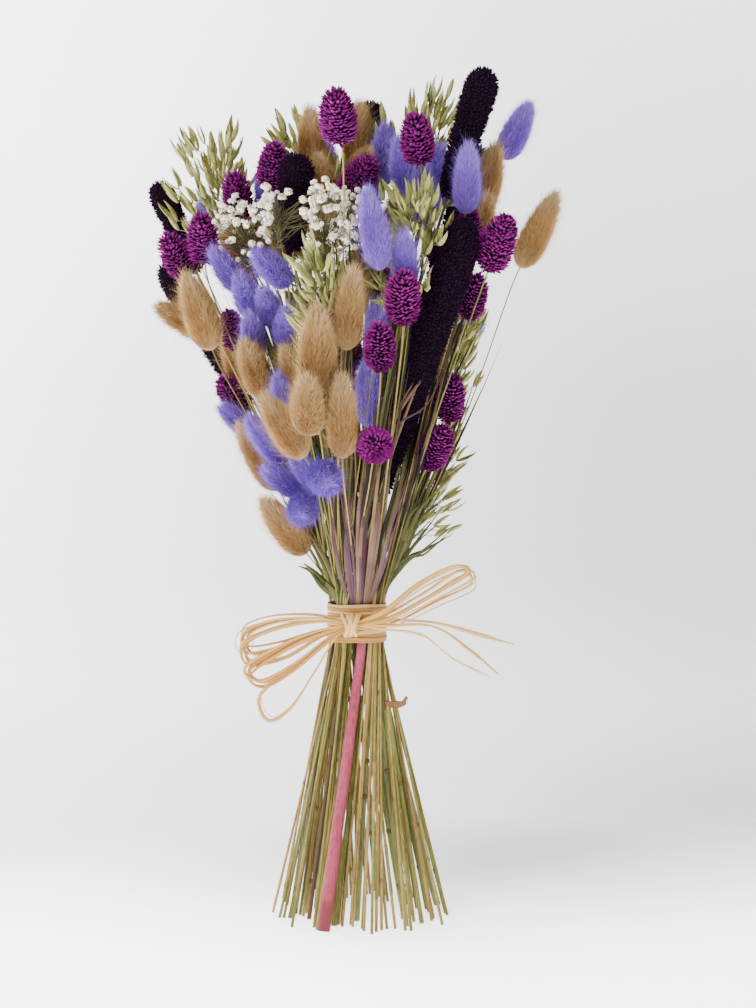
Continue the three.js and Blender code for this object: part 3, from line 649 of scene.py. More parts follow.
def spike_profile(along):
    """Slowly wider up to three quarters, with a blunt end."""
    rise = 0.6 + 0.4 * min(1.0, along / 0.75)
    ends = min(1.0, (1 - along) / 0.14, along / 0.06)
    return rise * math.sqrt(1 - (1 - ends) ** 2)


# ---- Materials ----
def rgba(tone):
    """A colour, or a grey given as one number, with full opacity."""
    return (*tone, 1) if hasattr(tone, "__len__") else (tone, tone, tone, 1)


class Finish:
    """A procedural material under construction: short calls for the nodes that the finishes share."""

    def __init__(self, name, roughness, **sockets):
        self.material = bpy.data.materials.new(name)
        self.material.use_nodes = True
        self.tree = self.material.node_tree
        self.shader = self.tree.nodes["Principled BSDF"]
        self.shader.inputs["Roughness"].default_value = roughness
        for socket, value in sockets.items():
            self.shader.inputs[socket.replace("_", " ")].default_value = value

    def add(self, kind, inputs=(), **settings):
        return add_node(self.tree, kind, inputs, **settings)

    def feed(self, socket, source):
        """Links a node's output to the shader."""
        self.tree.links.new(source, self.shader.inputs[socket])

    def attribute(self, name):
        return self.add("ShaderNodeAttribute", attribute_name=name).outputs["Fac"]

    def noise(self, place, scale, stretch, detail):
        mapping = self.add("ShaderNodeMapping", {"Vector": place, "Scale": stretch})
        inputs = {"Vector": mapping.outputs[0], "Scale": scale, "Detail": detail}
        return self.add("ShaderNodeTexNoise", inputs).outputs["Fac"]

    def object_noise(self, scale, stretch=(1, 1, 1), detail=3.0):
        """Noise in the object's own space, drawn out along an axis by a stretch below 1 there."""
        place = self.add("ShaderNodeTexCoord").outputs["Object"]
        return self.noise(place, scale, stretch, detail)

    def uv_noise(self, scale, stretch, detail):
        """Noise that follows a strip: U runs along it and V across it."""
        return self.noise(self.add("ShaderNodeUVMap").outputs[0], scale, stretch, detail)

    def ramp(self, factor, *stops):
        node = self.add("ShaderNodeValToRGB", (factor,))
        elements = node.color_ramp.elements
        while len(elements) < len(stops):
            elements.new(0.5)
        for element, (place, tone) in zip(elements, stops):
            element.position = place
            element.color = rgba(tone)
        return node.outputs[0]

    def mixed(self, factor, *tones, mode="MIX"):
        """Two colours mixed, each given as a node's output or as a value."""
        tones = [tone if isinstance(tone, bpy.types.NodeSocket) else rgba(tone) for tone in tones]
        node = self.add("ShaderNodeMix", (factor, *tones), data_type="RGBA", blend_type=mode)
        return output_of(node)

    def darkened(self, tone, factor, *stops):
        """A colour multiplied by a ramp."""
        return self.mixed(1.0, tone, self.ramp(factor, *stops), mode="MULTIPLY")

    def patchy(self, tone, scale, darkest):
        """A colour with soft darker patches."""
        return self.darkened(tone, self.object_noise(scale), (0.3, darkest), (0.7, 1.0))

    def bump(self, height, distance):
        inputs = {"Strength": 0.5, "Distance": distance, "Height": height}
        self.feed("Normal", self.add("ShaderNodeBump", inputs).outputs[0])

    def done(self, tone):
        """The material, with its base colour."""
        self.feed("Base Color", tone)
        return self.material


def blend_colours(a, b, share):
    return tuple(x * (1 - share) + y * share for x, y in zip(a, b))


def hairy(name, root, tip, glow, sheen, ends=0.0):
    """Hairs that are darker at their roots, with patches of tone. Both ends of a head are painted paler
    towards the glow colour, a painted glow of light shining through the hairs, and its edges glow where light
    grazes them, by sheen."""
    finish = Finish(name, 0.85, Sheen_Weight=sheen, Sheen_Roughness=0.4, Specular_IOR_Level=0.12)
    finish.shader.inputs["Sheen Tint"].default_value = rgba(glow)
    middle = blend_colours(root, tip, 0.5)
    along_hair = finish.ramp(finish.attribute("tip"), (0.0, root), (0.45, middle), (0.95, tip))
    # Painted glow: both ends of a head are mixed towards the glow colour, as strongly as ends says.
    painted_glow_places = [(0.0, 0.5 * ends), (0.3, 0.0), (0.6, 0.1 * ends), (1.0, ends)]
    painted_glow = finish.ramp(finish.attribute("along"), *painted_glow_places)
    with_painted_glow = finish.mixed(painted_glow, along_hair, glow)
    toned = finish.darkened(with_painted_glow, finish.attribute("shade"), (0.0, 0.6), (1.0, 1.0))
    return finish.done(finish.patchy(toned, 70, 0.75))


def stem_finish(name, dry, green, joint_tone=0.8):
    """Streaked stems: each is between dry and green by its own shade, and dark at its joints."""
    finish = Finish(name, 0.6, Specular_IOR_Level=0.3)
    brown = blend_colours(dry, (0.16, 0.07, 0.02), 0.6)
    between = blend_colours(dry, green, 0.5)
    dark = blend_colours(dry, (0.07, 0.025, 0.01), joint_tone)
    by_stem = finish.ramp(
        finish.attribute("shade"), (0.0, brown), (0.2, dry), (0.45, between), (0.7, green)
    )
    streaks = finish.object_noise(1400, (1, 1, 0.02), 4)
    streaked = finish.darkened(by_stem, streaks, (0.3, 0.5), (0.7, 1.0))
    stains = finish.object_noise(45, (1, 1, 0.5))
    stained = finish.darkened(streaked, stains, (0.35, (0.7, 0.62, 0.5)), (0.6, 1.0))
    finish.bump(streaks, 0.15 * MM)
    return finish.done(finish.mixed(finish.attribute("joint"), stained, dark))


def leaf_finish(name, *tones):
    """Dry leaves, each of its own tone, with fine ribs along them."""
    finish = Finish(name, 0.7, Specular_IOR_Level=0.2)
    by_leaf = finish.ramp(
        finish.attribute("shade"), *((i / (len(tones) - 1), tone) for i, tone in enumerate(tones))
    )
    ribs = finish.uv_noise(26, (0.08, 1, 1), 2)
    ribbed = finish.darkened(
        by_leaf, ribs, (0.3, (0.35, 0.33, 0.3)), (0.5, 0.8), (0.7, (1, 0.98, 0.92))
    )
    finish.bump(ribs, 0.2 * MM)
    return finish.done(finish.patchy(ribbed, 60, 0.65))


def oat_finish(name, tone):
    """Papery husks: pale ribs along them, greener between."""
    finish = Finish(name, 0.65, Specular_IOR_Level=0.35)
    pale = blend_colours(tone, (0.86, 0.80, 0.50), 0.5)
    deep = blend_colours(tone, (0.24, 0.28, 0.08), 0.45)
    ribbed = finish.ramp(finish.uv_noise(9, (0.1, 1, 1), 1), (0.35, deep), (0.5, tone), (0.65, pale))
    return finish.done(finish.patchy(ribbed, 90, 0.8))


def raffia_finish(name, tone, dark_share):
    """Dry raffia: silky strips with fibres along them, some of them browner."""
    finish = Finish(name, 0.55, Specular_IOR_Level=0.25)
    brown = blend_colours(tone, (0.34, 0.15, 0.03), 0.5)
    pale = blend_colours(tone, (0.92, 0.68, 0.34), 0.55)
    by_strip = finish.ramp(finish.attribute("shade"), (0.0, brown), (dark_share, tone), (1.0, pale))
    fibres = finish.uv_noise(30, (0.1, 1, 1), 3)
    finish.bump(fibres, 0.12 * MM)
    return finish.done(finish.darkened(by_strip, fibres, (0.3, (0.72, 0.66, 0.55)), (0.6, 1.0)))


# ---- Stems ----
STEM_POINTS = 44
STEM_SEAT = 0.15  # how far a stem goes up inside its head, as a share of the head's length
BAND_BEND = 10 * MM  # a bend's reach to both sides, at the lower and the upper end of the band
LONG_BEND = 60 * MM  # the same on the way up
NECK_BEND = 20 * MM  # the same at the neck
BASE_BEND = 4 * MM  # the same where the head starts
SOLE = 0.05 * MM  # cut ends stand this far above the table at least
FOOT_GIRTH = 1.25  # a stem's radius at its cut end, as a share of the measured one
GIRTH_LOSS, THICK_GIRTH_LOSS = 0.72, 0.35  # what of that a stem loses on its way up
JOINTS_FROM = 12 * MM  # joints and sheaths lie between this height
JOINTS_TO = WRAP_LOW.z - 25 * MM  # and this one
JOINT = ((-1.6, 0.98), (-0.7, 1.22), (0.5, 1.3), (1.4, 0.98))  # [millimetres along, share of radius]
SHEATH = (1.22, 1.18, 1.15, 1.3)  # how much wider than its stem a sheath is, from below
SHEATH_CHANCE = 0.4


def stem_radii(flower, smooth):
    """A stem is thickest at its cut end and thins towards its head; the thick one thins less."""
    foot, top = smooth[0].z, smooth[-1].z
    loss = THICK_GIRTH_LOSS if flower.stem > THICK_STEM else GIRTH_LOSS
    radii = []
    for point in smooth:
        share = (point.z - foot) / (top - foot)
        radii.append(flower.stem * (FOOT_GIRTH - loss * min(1.0, share * 1.6)))
    return radii


def stem_meshes(name, flower, draw, material):
    """A stem from its cut end, through the tie, to inside its head, with its joints and a sheath."""
    course = [*flower.course, flower.base, flower.base + flower.axis * STEM_SEAT * flower.length]
    reaches = [BAND_BEND, BAND_BEND] + [LONG_BEND] * (len(course) - 6) + [NECK_BEND, BASE_BEND]
    smooth = resampled(rounded(course, reaches), STEM_POINTS)
    radii = stem_radii(flower, smooth)
    thick = flower.stem > THICK_STEM
    shade = draw.random()
    stem = marked(tube(name, smooth, radii, material), shade=0.6 if thick else shade, joint=0.0)
    meshes = [stem]
    if thick:
        darkness = stem.attributes["joint"].data
        for vert in stem.vertices:
            darkness[vert.index].value = 1.0 if vert.co.z < DARK_FOOT else 0.0
    else:
        lower = [i for i, point in enumerate(smooth) if JOINTS_FROM < point.z < JOINTS_TO]
        for i in draw.sample(lower, 1 if flower.stem < MM else 2):
            meshes.append(joint_mesh(smooth, radii, i, 0.7 + 0.3 * draw.random(), material))
        if draw.random() < SHEATH_CHANCE:
            i = draw.choice(lower[: -len(SHEATH)])
            course = smooth[i : i + len(SHEATH)]
            sheath = tube("sheath", course, [swell * radii[i] for swell in SHEATH], material)
            meshes.append(marked(sheath, shade=draw.random(), joint=0.25))
    for mesh in meshes:
        for vert in mesh.vertices:
            vert.co.z = max(vert.co.z, SOLE)
        for polygon in mesh.polygons:
            polygon.use_smooth = True
    return meshes


def joint_mesh(smooth, radii, i, darkness, material):
    """The swollen ring where a leaf once left the stem."""
    along = (smooth[i + 1] - smooth[i - 1]).normalized()
    ring = [smooth[i] + along * step * MM for step, _ in JOINT]
    mesh = tube("joint", ring, [radii[i] * swell for _, swell in JOINT], material)
    return marked(mesh, shade=0.3, joint=darkness)


def numbered(prefix):
    """The CAD nodes of one kind, in order."""
    names = [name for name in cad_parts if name.startswith(prefix)]
    return sorted(names, key=lambda name: (len(name), name))


def build_kind(kind, heads, stems, front_stem=None):
    """Replaces each node of one kind by its stems and what heads() makes of its flowers."""
    for node in numbered(kind):
        flowers = read_flowers(node)
        meshes = heads(node, flowers)
        for i, flower in enumerate(flowers):
            material = front_stem if front_stem and flower.stem > THICK_STEM else stems
            meshes.extend(stem_meshes(f"{node}_stem", flower, seeded(node, i), material))
        finish_piece(node, meshes)


# ---- Blades beside stems ----
BLADE_POINTS = 14
BESIDE_POINTS = 40  # places on a stem at which a blade may start and end


def blade_meshes(node, index, flower, count, material):
    """Long thin dry leaves that run up beside a stem from above the tie. Their dark material is partly
    painted shade, for the shadow deep inside the bunch.
    """
    draw = seeded(node, index, "blades")
    upper = [*flower.course[2:], flower.base]
    stem = resampled(rounded(upper, [LONG_BEND] * len(upper)), BESIDE_POINTS)
    meshes = []
    for _ in range(count):
        first = draw.randrange(3, 18)
        last = min(BESIDE_POINTS - 1, first + draw.randrange(14, 24))
        angle = 2 * math.pi * draw.random()
        away = Vector((math.cos(angle), 0.5 * abs(math.sin(angle)), 0.15)) * draw.uniform(3, 9) * MM
        points = []
        for share in [k / 6 for k in range(7)]:
            points.append(stem[round(first + (last - first) * share)] + away * share**1.6)
        width = draw.uniform(1.4, 2.8) * MM
        widths = []
        for i in range(BLADE_POINTS):
            narrowing = 1 - (i / (BLADE_POINTS - 1)) ** 2.2
            widths.append(width * max(0.04, narrowing) * min(1, 0.4 + i / 4))
        twist = draw.uniform(-1.5, 1.5)
        course = through(points, BLADE_POINTS)
        blade = strip("blade", course, widths, material, crown=0.2, twist=twist, lanes=2)
        meshes.append(marked(blade, shade=draw.random()))
    return meshes


# ---- Operators ----
class BunchOperator:
    """What the operators share: each has a build() that gets the colours and sizes."""

    bl_options = {"REGISTER", "UNDO"}

    def execute(self, context):
        self.build(context.scene.bunch_colours, context.scene.bunch_sizes)
        return {"FINISHED"}


def build_tails(kind, tones, hair_length, ends, seed, colours):
    """Furry heads: a core, dense short hairs and a halo of long ones."""
    # ends: how strongly both ends of each head are painted paler, as painted glow.
    fur = hairy(f"{kind}_fur", *tones, sheen=0.25, ends=ends)
    hair = hair_shape(f"{kind}_hair", fur)
    stems = stem_finish(f"{kind}_stems", colours.straw[:], colours.olive[:])
    # Very dark blade tones: partly the dry leaves' own colour, partly painted shade from deep inside the
    # bunch.
    leaf = leaf_finish(f"{kind}_leaves", (0.03, 0.014, 0.006), (0.10, 0.055, 0.02), (0.24, 0.15, 0.05))
    under = {"width": 0.38 * MM, "lean": 0.7, "spread": 0.18, "density": 2.5e6}
    halo = {"width": 0.14 * MM, "lean": 0.6, "spread": 0.28, "density": 0.5e6}
    groups = [
        cover_group(f"{kind}_under", hair, hair_length, seed=seed, **under),
        cover_group(f"{kind}_halo", hair, 1.8 * hair_length, seed=seed + 9, **halo),
    ]

    def heads(node, flowers):
        for flower in flowers:
            flower.length *= TAIL_SHARE
        core = core_mesh(f"{node}_core", flowers, tail_profile, fur, thickness=0.93)
        meshes = covered(marked(core, tip=0.3, shade=0.5), groups)
        for i, flower in enumerate(flowers):
            if flower.base.y > TIE.y - 10 * MM:
                meshes.extend(blade_meshes(node, i, flower, 3, leaf))
        return meshes

    build_kind(kind, heads, stems)
    bpy.data.objects.remove(hair)


class BUNCH_OT_tan_tails(BunchOperator, bpy.types.Operator):
    """Build the natural bunny tails"""

    bl_idname = "bunch.tan_tails"
    bl_label = "Tan bunny tails"

    def build(self, colours, sizes):
        tones = (colours.tan_root[:], colours.tan_tip[:], colours.tan_glow[:])
        # 0.6: how strongly the ends of the heads are painted paler, as painted glow.
        build_tails("tan_bunny_tails", tones, sizes.hair, 0.6, 3, colours)


class BUNCH_OT_violet_tails(BunchOperator, bpy.types.Operator):
    """Build the dyed bunny tails"""

    bl_idname = "bunch.violet_tails"
    bl_label = "Violet bunny tails"

    def build(self, colours, sizes):
        tones = (colours.violet_root[:], colours.violet_tip[:], colours.violet_glow[:])
        # 0.3: how strongly the ends of the heads are painted paler, as painted glow.
        build_tails("violet_bunny_tails", tones, 0.85 * sizes.hair, 0.3, 5, colours)


class BUNCH_OT_canary_grass(BunchOperator, bpy.types.Operator):
    """Build the dyed canary grass"""

    bl_idname = "bunch.canary_grass"
    bl_label = "Canary grass"

    def build(self, colours, sizes):
        tones = (colours.canary_root[:], colours.canary_tip[:], colours.dye_glow[:])
        finish = hairy("canary_husks", *tones, sheen=0.1)
        husk = husk_shape("canary_husk", finish)
        stems = stem_finish("canary_stems", colours.straw[:], colours.olive[:])
        # Very dark blade tones: partly the dry leaves' own colour, partly painted shade from deep inside the
        # bunch.
        leaf = leaf_finish("canary_leaves", (0.012, 0.008, 0.006), (0.05, 0.035, 0.02), (0.14, 0.10, 0.04))
        cover = {"width": 1.9 * MM, "lean": 0.5, "spread": 0.1, "gap": 1.12 * MM, "flat": 0.9}
        group = cover_group("canary_cover", husk, sizes.husk, seed=7, **cover)

        def heads(node, flowers):
            for flower in flowers:
                flower.base += flower.axis * 1.5 * MM
                flower.length *= CANARY_SHARE
            core = core_mesh(f"{node}_core", flowers, canary_profile, finish, thickness=0.84)
            meshes = covered(marked(core, tip=0.0, shade=0.0), [group])
            for i, flower in enumerate(flowers):
                meshes.extend(blade_meshes(node, i, flower, 4, leaf))
            return meshes

        build_kind("canary_grass", heads, stems)
        bpy.data.objects.remove(husk)


class BUNCH_OT_millet_spikes(BunchOperator, bpy.types.Operator):
    """Build the dark millet spikes, and the thick dyed stem of the front one"""

    bl_idname = "bunch.millet_spikes"
    bl_label = "Millet spikes"

    def build(self, colours, sizes):
        tones = (colours.millet_root[:], colours.millet_tip[:], colours.dye_glow[:])
        velvet = hairy("millet_velvet", *tones, sheen=0.22)
        bristle = hair_shape("millet_bristle", velvet)
        seed = seed_shape("millet_seed", velvet)
        dusty = blend_colours(colours.olive[:], (0.3, 0.34, 0.14), 0.5)
        green = stem_finish("millet_stems", colours.olive[:], dusty)
        streak = blend_colours(colours.dyed_stem[:], (0.7, 0.2, 0.3), 0.3)
        pink = stem_finish("front_stem", colours.dyed_stem[:], streak, joint_tone=0.65)
        bristles = {"width": 0.5 * MM, "lean": 0.35, "spread": 0.35, "density": 1.3e6}
        seeds = {"width": 1.7 * MM, "lean": 0.3, "spread": 0.3, "gap": 1.5 * MM}
        groups = [
            cover_group("millet_bristles", bristle, sizes.bristle, seed=11, **bristles),
            cover_group("millet_seeds", seed, 2.2 * MM, seed=12, **seeds),
        ]

        def heads(node, flowers):
            core = core_mesh(f"{node}_core", flowers, spike_profile, velvet, rings=24, sides=14)
            return covered(marked(core, tip=0.0, shade=0.0), groups)

        build_kind("millet_spike", heads, green, pink)
        bpy.data.objects.remove(bristle)
        bpy.data.objects.remove(seed)


# ---- Oats ----
STALK_POINTS = 24
HUSK_STEPS = 5
# How much larger than its solid a panicle is drawn and how far it leans to the right, by node and
# place in it.
OAT_SPREAD = {
    ("oats_6", 1): (1.9, -0.5),
    ("oats_6", 0): (1.8, 0.1),
    ("oats_2", 1): (2.2, -0.2),
    ("oats_2", 0): (1.5, 0.3),
    ("oats_1", 0): (1.5, 0.2),
    ("oats_1", 1): (1.3, 0.0),
    ("oats_3", 0): (1.6, 0.1),
    ("oats_3", 1): (1.4, 0.2),
    ("oats_4", 1): (1.2, 0.2),
}


def spikelet_meshes(material):
    """Pairs of long pointed husks, more and less open, one unit long, up Z."""
    meshes = []
    shares = [i / HUSK_STEPS for i in range(HUSK_STEPS + 1)]
    widths = [0.24 * math.sin(math.pi * (0.06 + 0.93 * t) ** 0.75) ** 0.9 for t in shares]
    for opening in (0.05, 0.13, 0.24):
        halves = []
        for side in (-1, 1):
            course = [Vector((side * opening * math.sin(t * 1.9), 0, t)) for t in shares]
            outward = Vector((side, 0, 0.1))
            bend = {"crown": 0.45, "thickness": 0.02, "facing": lambda point: outward}
            halves.append(strip("husk", course, widths, material, lanes=2, **bend))
        piece = joined("spikelet", halves)
        meshes.append(piece.data)
        bpy.data.objects.remove(piece)
    return meshes


def oat_head(node, index, flower, spikelets, branch, sizes):
    """A panicle: a stalk with thin bent branches that each end in a pair of husks."""
    spread, lean = OAT_SPREAD.get((node, index), (1.0, 0.0))
    draw = seeded(node, index, "oat")
    neck = flower.course[-1]
    down = (flower.course[-2] - neck).normalized()
    stalk = [neck + down * 26 * MM, neck + down * 12 * MM, neck, flower.base]
    stalk.append(flower.base + flower.axis * flower.length * 0.55)
    stalk = resampled(stalk, STALK_POINTS)
    radii = [0.45 * MM - 0.01 * MM * i for i in range(STALK_POINTS)]
    meshes = [tube("stalk", stalk, radii, branch, 6)]
    count = round(34 * spread**1.4)
    for i in range(count):
        share = (i + 0.5) / count
        start = stalk[round(share * (STALK_POINTS - 1))]
        around = beside_axis(flower, i * GOLDEN_ANGLE + 0.4 * draw.random())
        reach = 1.15 * spread * flower.radius * (1 - 0.6 * share) * (0.35 + 0.8 * draw.random())
        end = start + around * reach + flower.axis * (4 + 6 * draw.random()) * MM
        end += Vector((lean * reach, 0, (spread - 1) * 14 * MM * draw.random()))
        bend = start.lerp(end, 0.5) + flower.axis * 2 * MM
        meshes.append(twig(start, bend, end, [0.2 * MM] * 6, branch))
        heading = ((end - bend).normalized() * 0.8 + flower.axis).normalized()
        size = sizes.oat * (0.7 + 0.45 * draw.random())
        matrix = look_along(heading, end, (size, size, size), 6.3 * draw.random())
        meshes.append(placed(draw.choice(spikelets), matrix))
    return [marked(mesh, shade=draw.random(), joint=0.0) for mesh in meshes]


class BUNCH_OT_oats(BunchOperator, bpy.types.Operator):
    """Build the oats"""

    bl_idname = "bunch.oats"
    bl_label = "Oats"

    def build(self, colours, sizes):
        husk = oat_finish("oat_husks", colours.oat[:])
        # Very dark blade tones: partly the dry leaves' own colour, partly painted shade from deep inside the
        # bunch.
        leaf = leaf_finish("oat_leaves", (0.018, 0.015, 0.005), (0.07, 0.075, 0.02), (0.20, 0.17, 0.06))
        pale_green = blend_colours(colours.oat[:], colours.olive[:], 0.5)
        stems = stem_finish("oat_stems", colours.olive[:], pale_green)
        spikelets = spikelet_meshes(husk)

        def heads(node, flowers):
            meshes = []
            for i, flower in enumerate(flowers):
                meshes.extend(oat_head(node, i, flower, spikelets, stems, sizes))
                meshes.extend(blade_meshes(node, i, flower, 12, leaf))
            return meshes

        build_kind("oats", heads, stems)


# ---- Baby's breath ----
PETALS = 13
FLORETS = 62
BARE_TWIGS = 46


def floret_mesh(material, seed):
    """A double floret, one unit wide: cupped petals that stand out all over a small ball."""
    draw = seeded("floret", seed)
    bm = bmesh.new()
    for i in range(PETALS):
        share = (i + 0.5) / PETALS
        tilt = math.acos(1 - 1.5 * share)
        around = i * GOLDEN_ANGLE
        out = Vector((math.sin(tilt) * math.cos(around), math.sin(tilt) * math.sin(around), math.cos(tilt)))
        made = bmesh.ops.create_grid(bm, x_segments=2, y_segments=1, size=0.2)
        for vert in made["verts"]:
            vert.co.z = 0.10 - 2.2 * vert.co.x**2
        heading = (out + 0.75 * stray(draw)).normalized()
        matrix = look_along(heading, out * 0.34, turn=6 * draw.random())
        bmesh.ops.transform(bm, verts=made["verts"], matrix=matrix)
    bmesh.ops.create_icosphere(bm, subdivisions=1, radius=0.33)
    # tip: how far out a point lies. The petals' deeper tone and painted shade are read from it.
    tip = bm.verts.layers.float.new("tip")
    for vert in bm.verts:
        vert[tip] = min(1.0, max(0.0, (vert.co.length - 0.3) / 0.2))
    return mesh_from(bm, "floret", material)


def breath_head(node, flower, spike, florets, branch):
    """A cloud of florets on fine twigs that leaves the velvet spike in it clear, with a tangle of
    bare twigs under them."""
    draw = seeded(node, "breath")
    meshes = []
    for i in range(FLORETS):
        share = (i + 0.5) / FLORETS
        around = beside_axis(flower, i * GOLDEN_ANGLE)
        height = flower.length * (1.0 - 0.75 * share * share - 0.35 * draw.random() ** 2)
        out = around * flower.radius * 1.4 * math.sqrt(share)
        end = flower.base + flower.axis * height + out + stray(draw) * 1.8 * MM
        aside = end.x - spike.base.x
        if abs(aside) < spike.radius * 1.25 and i % 7:
            end.x = spike.base.x + math.copysign(spike.radius * draw.uniform(1.2, 1.7), aside)
        start = flower.base + flower.axis * flower.length * (0.55 - 0.5 * share)
        bend = start.lerp(end, 0.45) + around * 1.5 * MM * draw.random()
        meshes.append(twig(start, bend, end, [0.24 * MM] + [0.16 * MM] * 6, branch))
        size = (2.3 + 2.6 * draw.random()) * MM
        heading = ((end - start).normalized() + Vector((0, -0.5, 0.3))).normalized()
        matrix = look_along(heading, end, (size, size, size * 0.85), 6 * draw.random())
        meshes.append(placed(draw.choice(florets), matrix))
    for i in range(BARE_TWIGS):
        around = beside_axis(flower, i * GOLDEN_ANGLE)
        start = flower.base + flower.axis * flower.length * 0.5 * draw.random() - flower.axis * 8 * MM
        end = start + around * flower.radius * draw.uniform(0.4, 1.3) + flower.axis * draw.uniform(4, 16) * MM
        bend = start.lerp(end, 0.5) + flower.axis * draw.uniform(-3, 3) * MM
        meshes.append(twig(start, bend, end, [0.2 * MM] * 6, branch))
    return [marked(mesh, shade=draw.random(), joint=0.0) for mesh in meshes]


class BUNCH_OT_babys_breath(BunchOperator, bpy.types.Operator):
    """Build the baby's breath"""

    bl_idname = "bunch.babys_breath"
    bl_label = "Baby's breath"

    def build(self, colours, sizes):
        petals = Finish("breath_petals", 0.8, Specular_IOR_Level=0.2)
        tone = colours.breath[:]
        # deep: the floret's heart and petal roots, partly their own yellowish tone and partly painted shade
        # deep between the petals.
        deep = blend_colours(tone, (0.22, 0.20, 0.08), 0.8)
        petal = petals.done(petals.ramp(petals.attribute("tip"), (0.1, deep), (0.6, tone)))
        twigs = stem_finish("breath_twigs", (0.13, 0.10, 0.04), (0.17, 0.18, 0.06))
        florets = [floret_mesh(petal, seed) for seed in range(4)]
        spike = read_flowers("millet_spike_1")[0]

        def heads(node, flowers):
            return breath_head(node, flowers[0], spike, florets, twigs)

        build_kind("babys_breath", heads, twigs)


# ---- Leaves ----
# Each has its width and its path as [x, z], in millimetres from the tie and the table.
LEAVES = {
    "mauve_leaves": [
        (2.4, [(-5, 192), (-4, 210), (-2, 224)]),
        (3.0, [(4, 200), (6, 218), (9, 236)]),
        (3.4, [(9, 205), (12, 230), (17, 251), (34, 281), (46, 292)]),
        (2.0, [(-9, 186), (-12, 205), (-11, 226)]),
        (2.4, [(1, 186), (1, 212), (5, 244)]),
        (2.2, [(13, 188), (18, 210), (27, 236)]),
        (1.8, [(-1, 184), (-5, 214), (-9, 240)]),
    ],
    "green_leaves": [
        (3.0, [(22, 190), (27, 203), (33, 216), (49, 229)]),
        (2.8, [(20, 182), (28, 190), (35, 193), (51, 205)]),
        (2.4, [(16, 184), (26, 204), (31, 228)]),
        (2.2, [(18, 180), (30, 198), (44, 212)]),
        (2.6, [(22, 200), (31, 234), (38, 262), (47, 290)]),
        (2.4, [(17, 204), (25, 236), (31, 264), (38, 292)]),
        (2.2, [(26, 200), (40, 236), (50, 262)]),
    ],
    "small_leaves": [
        (5.0, [(-16, 176), (-22, 183), (-28, 187)]),
        (3.0, [(-15, 186), (-20, 195), (-24, 204)]),
        (5.5, [(-12, 214), (-27, 250), (-41, 287), (-52, 314), (-60, 338)]),
        (2.4, [(-13, 212), (-25, 250), (-37, 290), (-46, 325)]),
        (2.2, [(-9, 214), (-17, 250), (-25, 290), (-33, 320)]),
    ],
}
LEAF_POINTS = 28
LEAF_WIDEST = 0.45  # the share of its length at which a leaf starts to narrow
LEAF_START = 178  # the height from which a leaf's repeats are drawn longer or shorter, in millimetres
LEAF_REPEATS = (1.0, 0.7, 0.5, 0.4)  # shares of a leaf's width: itself, and three that stray from it
IN_BAND = 13.5 * MM  # how far from the tie's axis leaves run inside the band
BAND_HEIGHTS = (148, 158, 167)  # the heights there, in millimetres
# The course of the brown scrap, in millimetres to the right of the tie and above the table.
CURL = [(14.5, 113), (18, 113.4), (21.5, 113), (24.4, 113.8), (25.4, 116.6)]
CURL_SHREDS = 5
CURL_POINTS = 20
CURL_RISE, CURL_FORWARD = 0.65, 0.8  # how far each shred stands from the one before, in millimetres


def surface_of(node):
    """What finds the nearest place on a CAD node."""
    bm = merged_copy(node)
    tree = BVHTree.FromBMesh(bm)
    bm.free()
    return tree


def leaf_width(share):
    """How wide a leaf is at a share of its length."""
    if share < LEAF_WIDEST:
        return 0.35 + 0.65 * math.sin(math.pi * min(1, share * 0.95 + 0.1))
    return max(0.05, 1.0 - ((share - LEAF_WIDEST) / (1 - LEAF_WIDEST)) ** 1.6)


def leaf_mesh(name, width, path, surface, material, draw):
    """A blade that leaves the tie, lies where the CAD leaf lies, and narrows to a point."""
    beside = path[0][0] * 0.5 * MM
    inside = TIE.y - math.sqrt(IN_BAND**2 - beside**2)
    points = [Vector((TIE.x + beside, inside, z * MM)) for z in BAND_HEIGHTS]
    for x, z in path:
        wanted = Vector((TIE.x + x * MM, -80 * MM, z * MM))
        points.append(Vector((wanted.x, front_depth(wanted, surface), wanted.z)))
    widths = [width * MM * leaf_width(i / (LEAF_POINTS - 1)) for i in range(LEAF_POINTS)]
    twist = 0.8 * (draw.random() - 0.3)
    course = through(points, LEAF_POINTS)
    leaf = strip(name, course, widths, material, crown=0.16, thickness=0.25 * MM, twist=twist)
    return marked(leaf, shade=draw.random())


def front_depth(place, surface):
    """How far back the CAD leaf lies at a place as the viewer sees it."""
    hit = surface.ray_cast(place, Vector((0, 1, 0)), 0.3)[0]
    if hit is None:
        hit = surface.find_nearest(Vector((place.x, TIE.y - 20 * MM, place.z)))[0]
    return hit.y


def curl_meshes(material, draw):
    """The brown scrap of a sheath that curls away from a stem at the right below the tie."""
    meshes = []
    for i in range(CURL_SHREDS):
        points = []
        for x, z in CURL:
            shift = Vector((draw.uniform(-1, 1), 0, draw.uniform(-1, 1))) * (x - CURL[0][0]) * 0.1
            shift.z += CURL_RISE * (i - 2)
            place = Vector((TIE.x / MM + x, TIE.y / MM - 10 - CURL_FORWARD * i, z))
            points.append(place * MM + shift * MM)
        course = through(points, CURL_POINTS)
        widths = [(2.0 - 0.15 * i) * MM] * CURL_POINTS
        shred = strip("curl", course, widths, material, crown=0.2, twist=0.4, lanes=2)
        meshes.append(marked(shred, shade=draw.random()))
    return meshes


